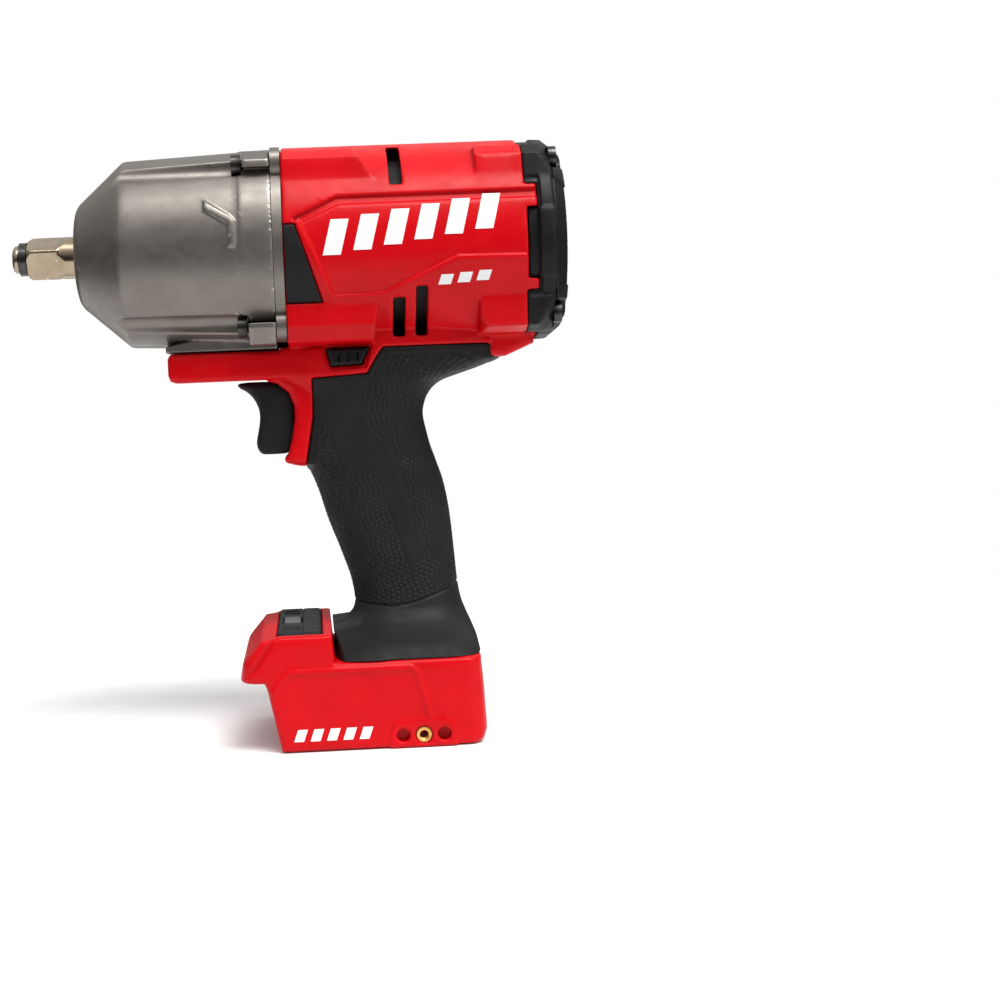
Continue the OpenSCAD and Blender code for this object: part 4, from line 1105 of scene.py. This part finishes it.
def build_inserts():
    low, high = insert_low, insert_high
    b = Block(low - 0.6, high + 0.6, 0.14)
    x, z = CLIP[0], CLIP[2]
    r = (high[0] - low[0]) / 2
    knurl = 0.12 * np.cos(np.arctan2(b.z - z, b.x - x) * 24)
    b.d[...] = both(np.hypot(b.x - x, b.z - z) - r + 0.15 + knurl, slab(b.y, low[1], high[1]), 0.5)
    thread = 0.22 * np.cos(b.y * (2 * math.pi / 0.7) + np.arctan2(b.z - z, b.x - x))
    b.cut(np.hypot(b.x - x, b.z - z) - 1.75 + thread, 0.1)
    piece = skinned(b, "left_thread_insert")
    place(piece, "housing", "brass", "left_clip_insert")
    place(other_side(piece, "right_thread_insert"), "housing", "brass", "right_clip_insert")


# ---- Plain marks, in place of lettering ----


def bar_mark(name, x, z, size, lean, depth_at):
    """A slanted white bar that lies on the surface given by depth_at(x, z)."""
    across_count, up_count = 24, 6
    u, v = np.meshgrid(np.linspace(0, 1, across_count), np.linspace(0, 1, up_count), indexing="ij")
    px, pz = x + u * size[0] + v * lean, z + v * size[1]
    outer = np.stack([px, -depth_at(px, pz) - 0.12, pz], -1).reshape(-1, 3)
    inside = np.stack([px, -depth_at(px, pz) + 0.25, pz], -1).reshape(-1, 3)
    points = np.concatenate([outer, inside]) * MM
    index = np.arange(across_count * up_count).reshape(across_count, up_count)
    front = np.stack([index[:-1, :-1], index[1:, :-1], index[1:, 1:], index[:-1, 1:]], -1).reshape(-1, 4)
    back = front[:, ::-1] + index.size
    rim = np.concatenate([index[:, 0], index[-1, 1:], index[-2::-1, -1], index[0, -2:0:-1]])
    after = np.roll(rim, -1)
    edge = np.stack([after, rim, rim + index.size, after + index.size], -1)
    return mesh_object(name, points, [front, back, edge], smooth=False)


def build_marks():
    def on_barrel(x, z):
        return np.sqrt((BARREL_R - LABEL_SINK) ** 2 - z**2)

    def on_skin(x, z):
        return np.sqrt(BARREL_R**2 - z**2)

    def on_foot(x, z):
        return np.full(np.shape(x), FOOT_HALF)

    # Name, how many, the first one's corner, the step to the next, length and height, lean, surface
    rows = [
        ("body_bar", 6, (101, -5.5), (11.2, 1.5), (6.6, 13.0), 3.4, on_barrel),
        ("body_dash", 3, (143, -17.6), (7, 0.5), (4.6, 3.6), 1.2, on_skin),
        ("foot_bar", 5, (83, -183), (6, 0), (3.6, 4.4), 1.6, on_foot),
    ]
    for name, count, first, step, size, lean, surface in rows:
        for i in range(count):
            x, z = first[0] + i * step[0], first[1] + i * step[1]
            left = bar_mark(f"{name}_{i}_left", x, z, size, lean, surface)
            for made in (left, other_side(left, f"{name}_{i}_right")):
                made.data.materials.clear()
                made.data.materials.append(finishes["mark"])
                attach(made, "housing")


# ---- CAD nodes that stay ----


BEVELLED_SLOTS = ("steel", "dark_steel", "nickel", "black_plastic", "bronze", "cast_case")
BEVEL_MM = 0.25
BEVEL_FROM = math.radians(40)


def dress_cad_nodes():
    """Every CAD node gets its slot's finish, and the machined ones a fine bevel."""
    for part in frame["record"]["subparts"]:
        slot = part["material_slot"]
        piece = frame["nodes"][part["node"]]
        piece.data.materials.clear()
        piece.data.materials.append(finishes["cast_flange" if slot == "cast_case" else slot])
        if slot in BEVELLED_SLOTS:
            bevel = piece.modifiers.new("soft_edges", "BEVEL")
            bevel.width = BEVEL_MM * MM
            bevel.segments = 2
            bevel.limit_method = "ANGLE"
            bevel.angle_limit = BEVEL_FROM
            bevel.use_clamp_overlap = True


# ---- Stage ----

# How bright the studio is at the horizon and overhead, and behind the tool in the picture
DOME_LOW = 0.06
DOME_HIGH = 0.95
BACKDROP = 1.0
FLOOR_HALF = 0.45
FLOOR_GAP = 0.0003


def build_floor():
    size, z = FLOOR_HALF, FOOT_Z * MM - FLOOR_GAP
    points = np.array([(-size, -size, z), (size, -size, z), (size, size, z), (-size, size, z)], float)
    floor = mesh_object("floor", points, [np.array([[0, 1, 2, 3]])], smooth=False)
    paper = Finish("paper", linear(244, 244, 244), linear(240, 240, 240), (0.8, 0.9))
    floor.data.materials.append(paper.material)


def build_world():
    world = bpy.data.worlds.new("studio")
    bpy.context.scene.world = world
    world.use_nodes = True
    nodes = world.node_tree.nodes
    backdrop = nodes["Background"]
    backdrop.inputs["Color"].default_value = (1, 1, 1, 1)
    link = world.node_tree.links.new
    height = nodes.new("ShaderNodeSeparateXYZ")
    link(nodes.new("ShaderNodeTexCoord").outputs["Generated"], height.inputs["Vector"])
    dome = nodes.new("ShaderNodeMapRange")
    dome.inputs["From Min"].default_value = 0.05
    dome.inputs["From Max"].default_value = 0.75
    dome.inputs["To Min"].default_value = DOME_LOW
    dome.inputs["To Max"].default_value = DOME_HIGH
    link(height.outputs["Z"], dome.inputs["Value"])
    seen = nodes.new("ShaderNodeMix")
    link(nodes.new("ShaderNodeLightPath").outputs["Is Camera Ray"], seen.inputs["Factor"])
    link(dome.outputs["Result"], seen.inputs["A"])
    seen.inputs["B"].default_value = BACKDROP
    link(seen.outputs["Result"], backdrop.inputs["Strength"])


def add_lamp(name, kind, power, travel, location=(0, 0, 0)):
    """A light that shines along `travel`."""
    data = bpy.data.lights.new(name, kind)
    data.energy = power
    lamp = new_object(name, data)
    lamp.location = location
    lamp.rotation_mode = "QUATERNION"
    lamp.rotation_quaternion = travel.to_track_quat("-Z", "Y")
    return data


def add_area(name, location, size, power, aim=(0.09, 0, -0.05)):
    data = add_lamp(name, "AREA", power, Vector(aim) - Vector(location), location)
    data.shape = "RECTANGLE"
    data.size, data.size_y = size


def add_sun(name, travel, spread, strength):
    add_lamp(name, "SUN", strength, Vector(travel)).angle = math.radians(spread)


def build_camera():
    """The photograph's view: square on to the left side, with the nose a little low."""
    eye = Vector((0.095, -0.65, -0.05))
    aim = Vector((0.12085, 0, -0.06729))
    roll = math.radians(-2.4)
    data = bpy.data.cameras.new("camera")
    data.sensor_width = 36
    data.lens = 60.4
    data.shift_x = 0.12
    data.shift_y = -0.08
    data.clip_end = 100
    camera = new_object("camera", data)
    camera.location = eye
    camera.rotation_mode = "QUATERNION"
    camera.rotation_quaternion = (aim - eye).to_track_quat("-Z", "Y") @ Quaternion((0, 0, 1), roll)
    bpy.context.scene.camera = camera


dress_cad_nodes()
build_both_housings()
build_vent_liner()
build_grips()
build_bumpers()
build_gear_case()
build_rear_cap()
build_rear_badge()
build_anvil()
build_trigger()
build_trigger_spring()
build_lever()
build_lens()
build_panel()
build_mode_key()
build_inserts()
build_marks()
build_floor()
build_world()
add_sun("sky", (-0.30, 0.42, -0.86), 30, 2.0)
add_area("key", (0.25, -0.45, 0.95), (0.9, 0.35), 7)
add_area("side", (0.9, -0.7, 0.1), (0.3, 0.9), 2.0)
build_camera()
bpy.context.scene.view_settings.view_transform = "Standard"
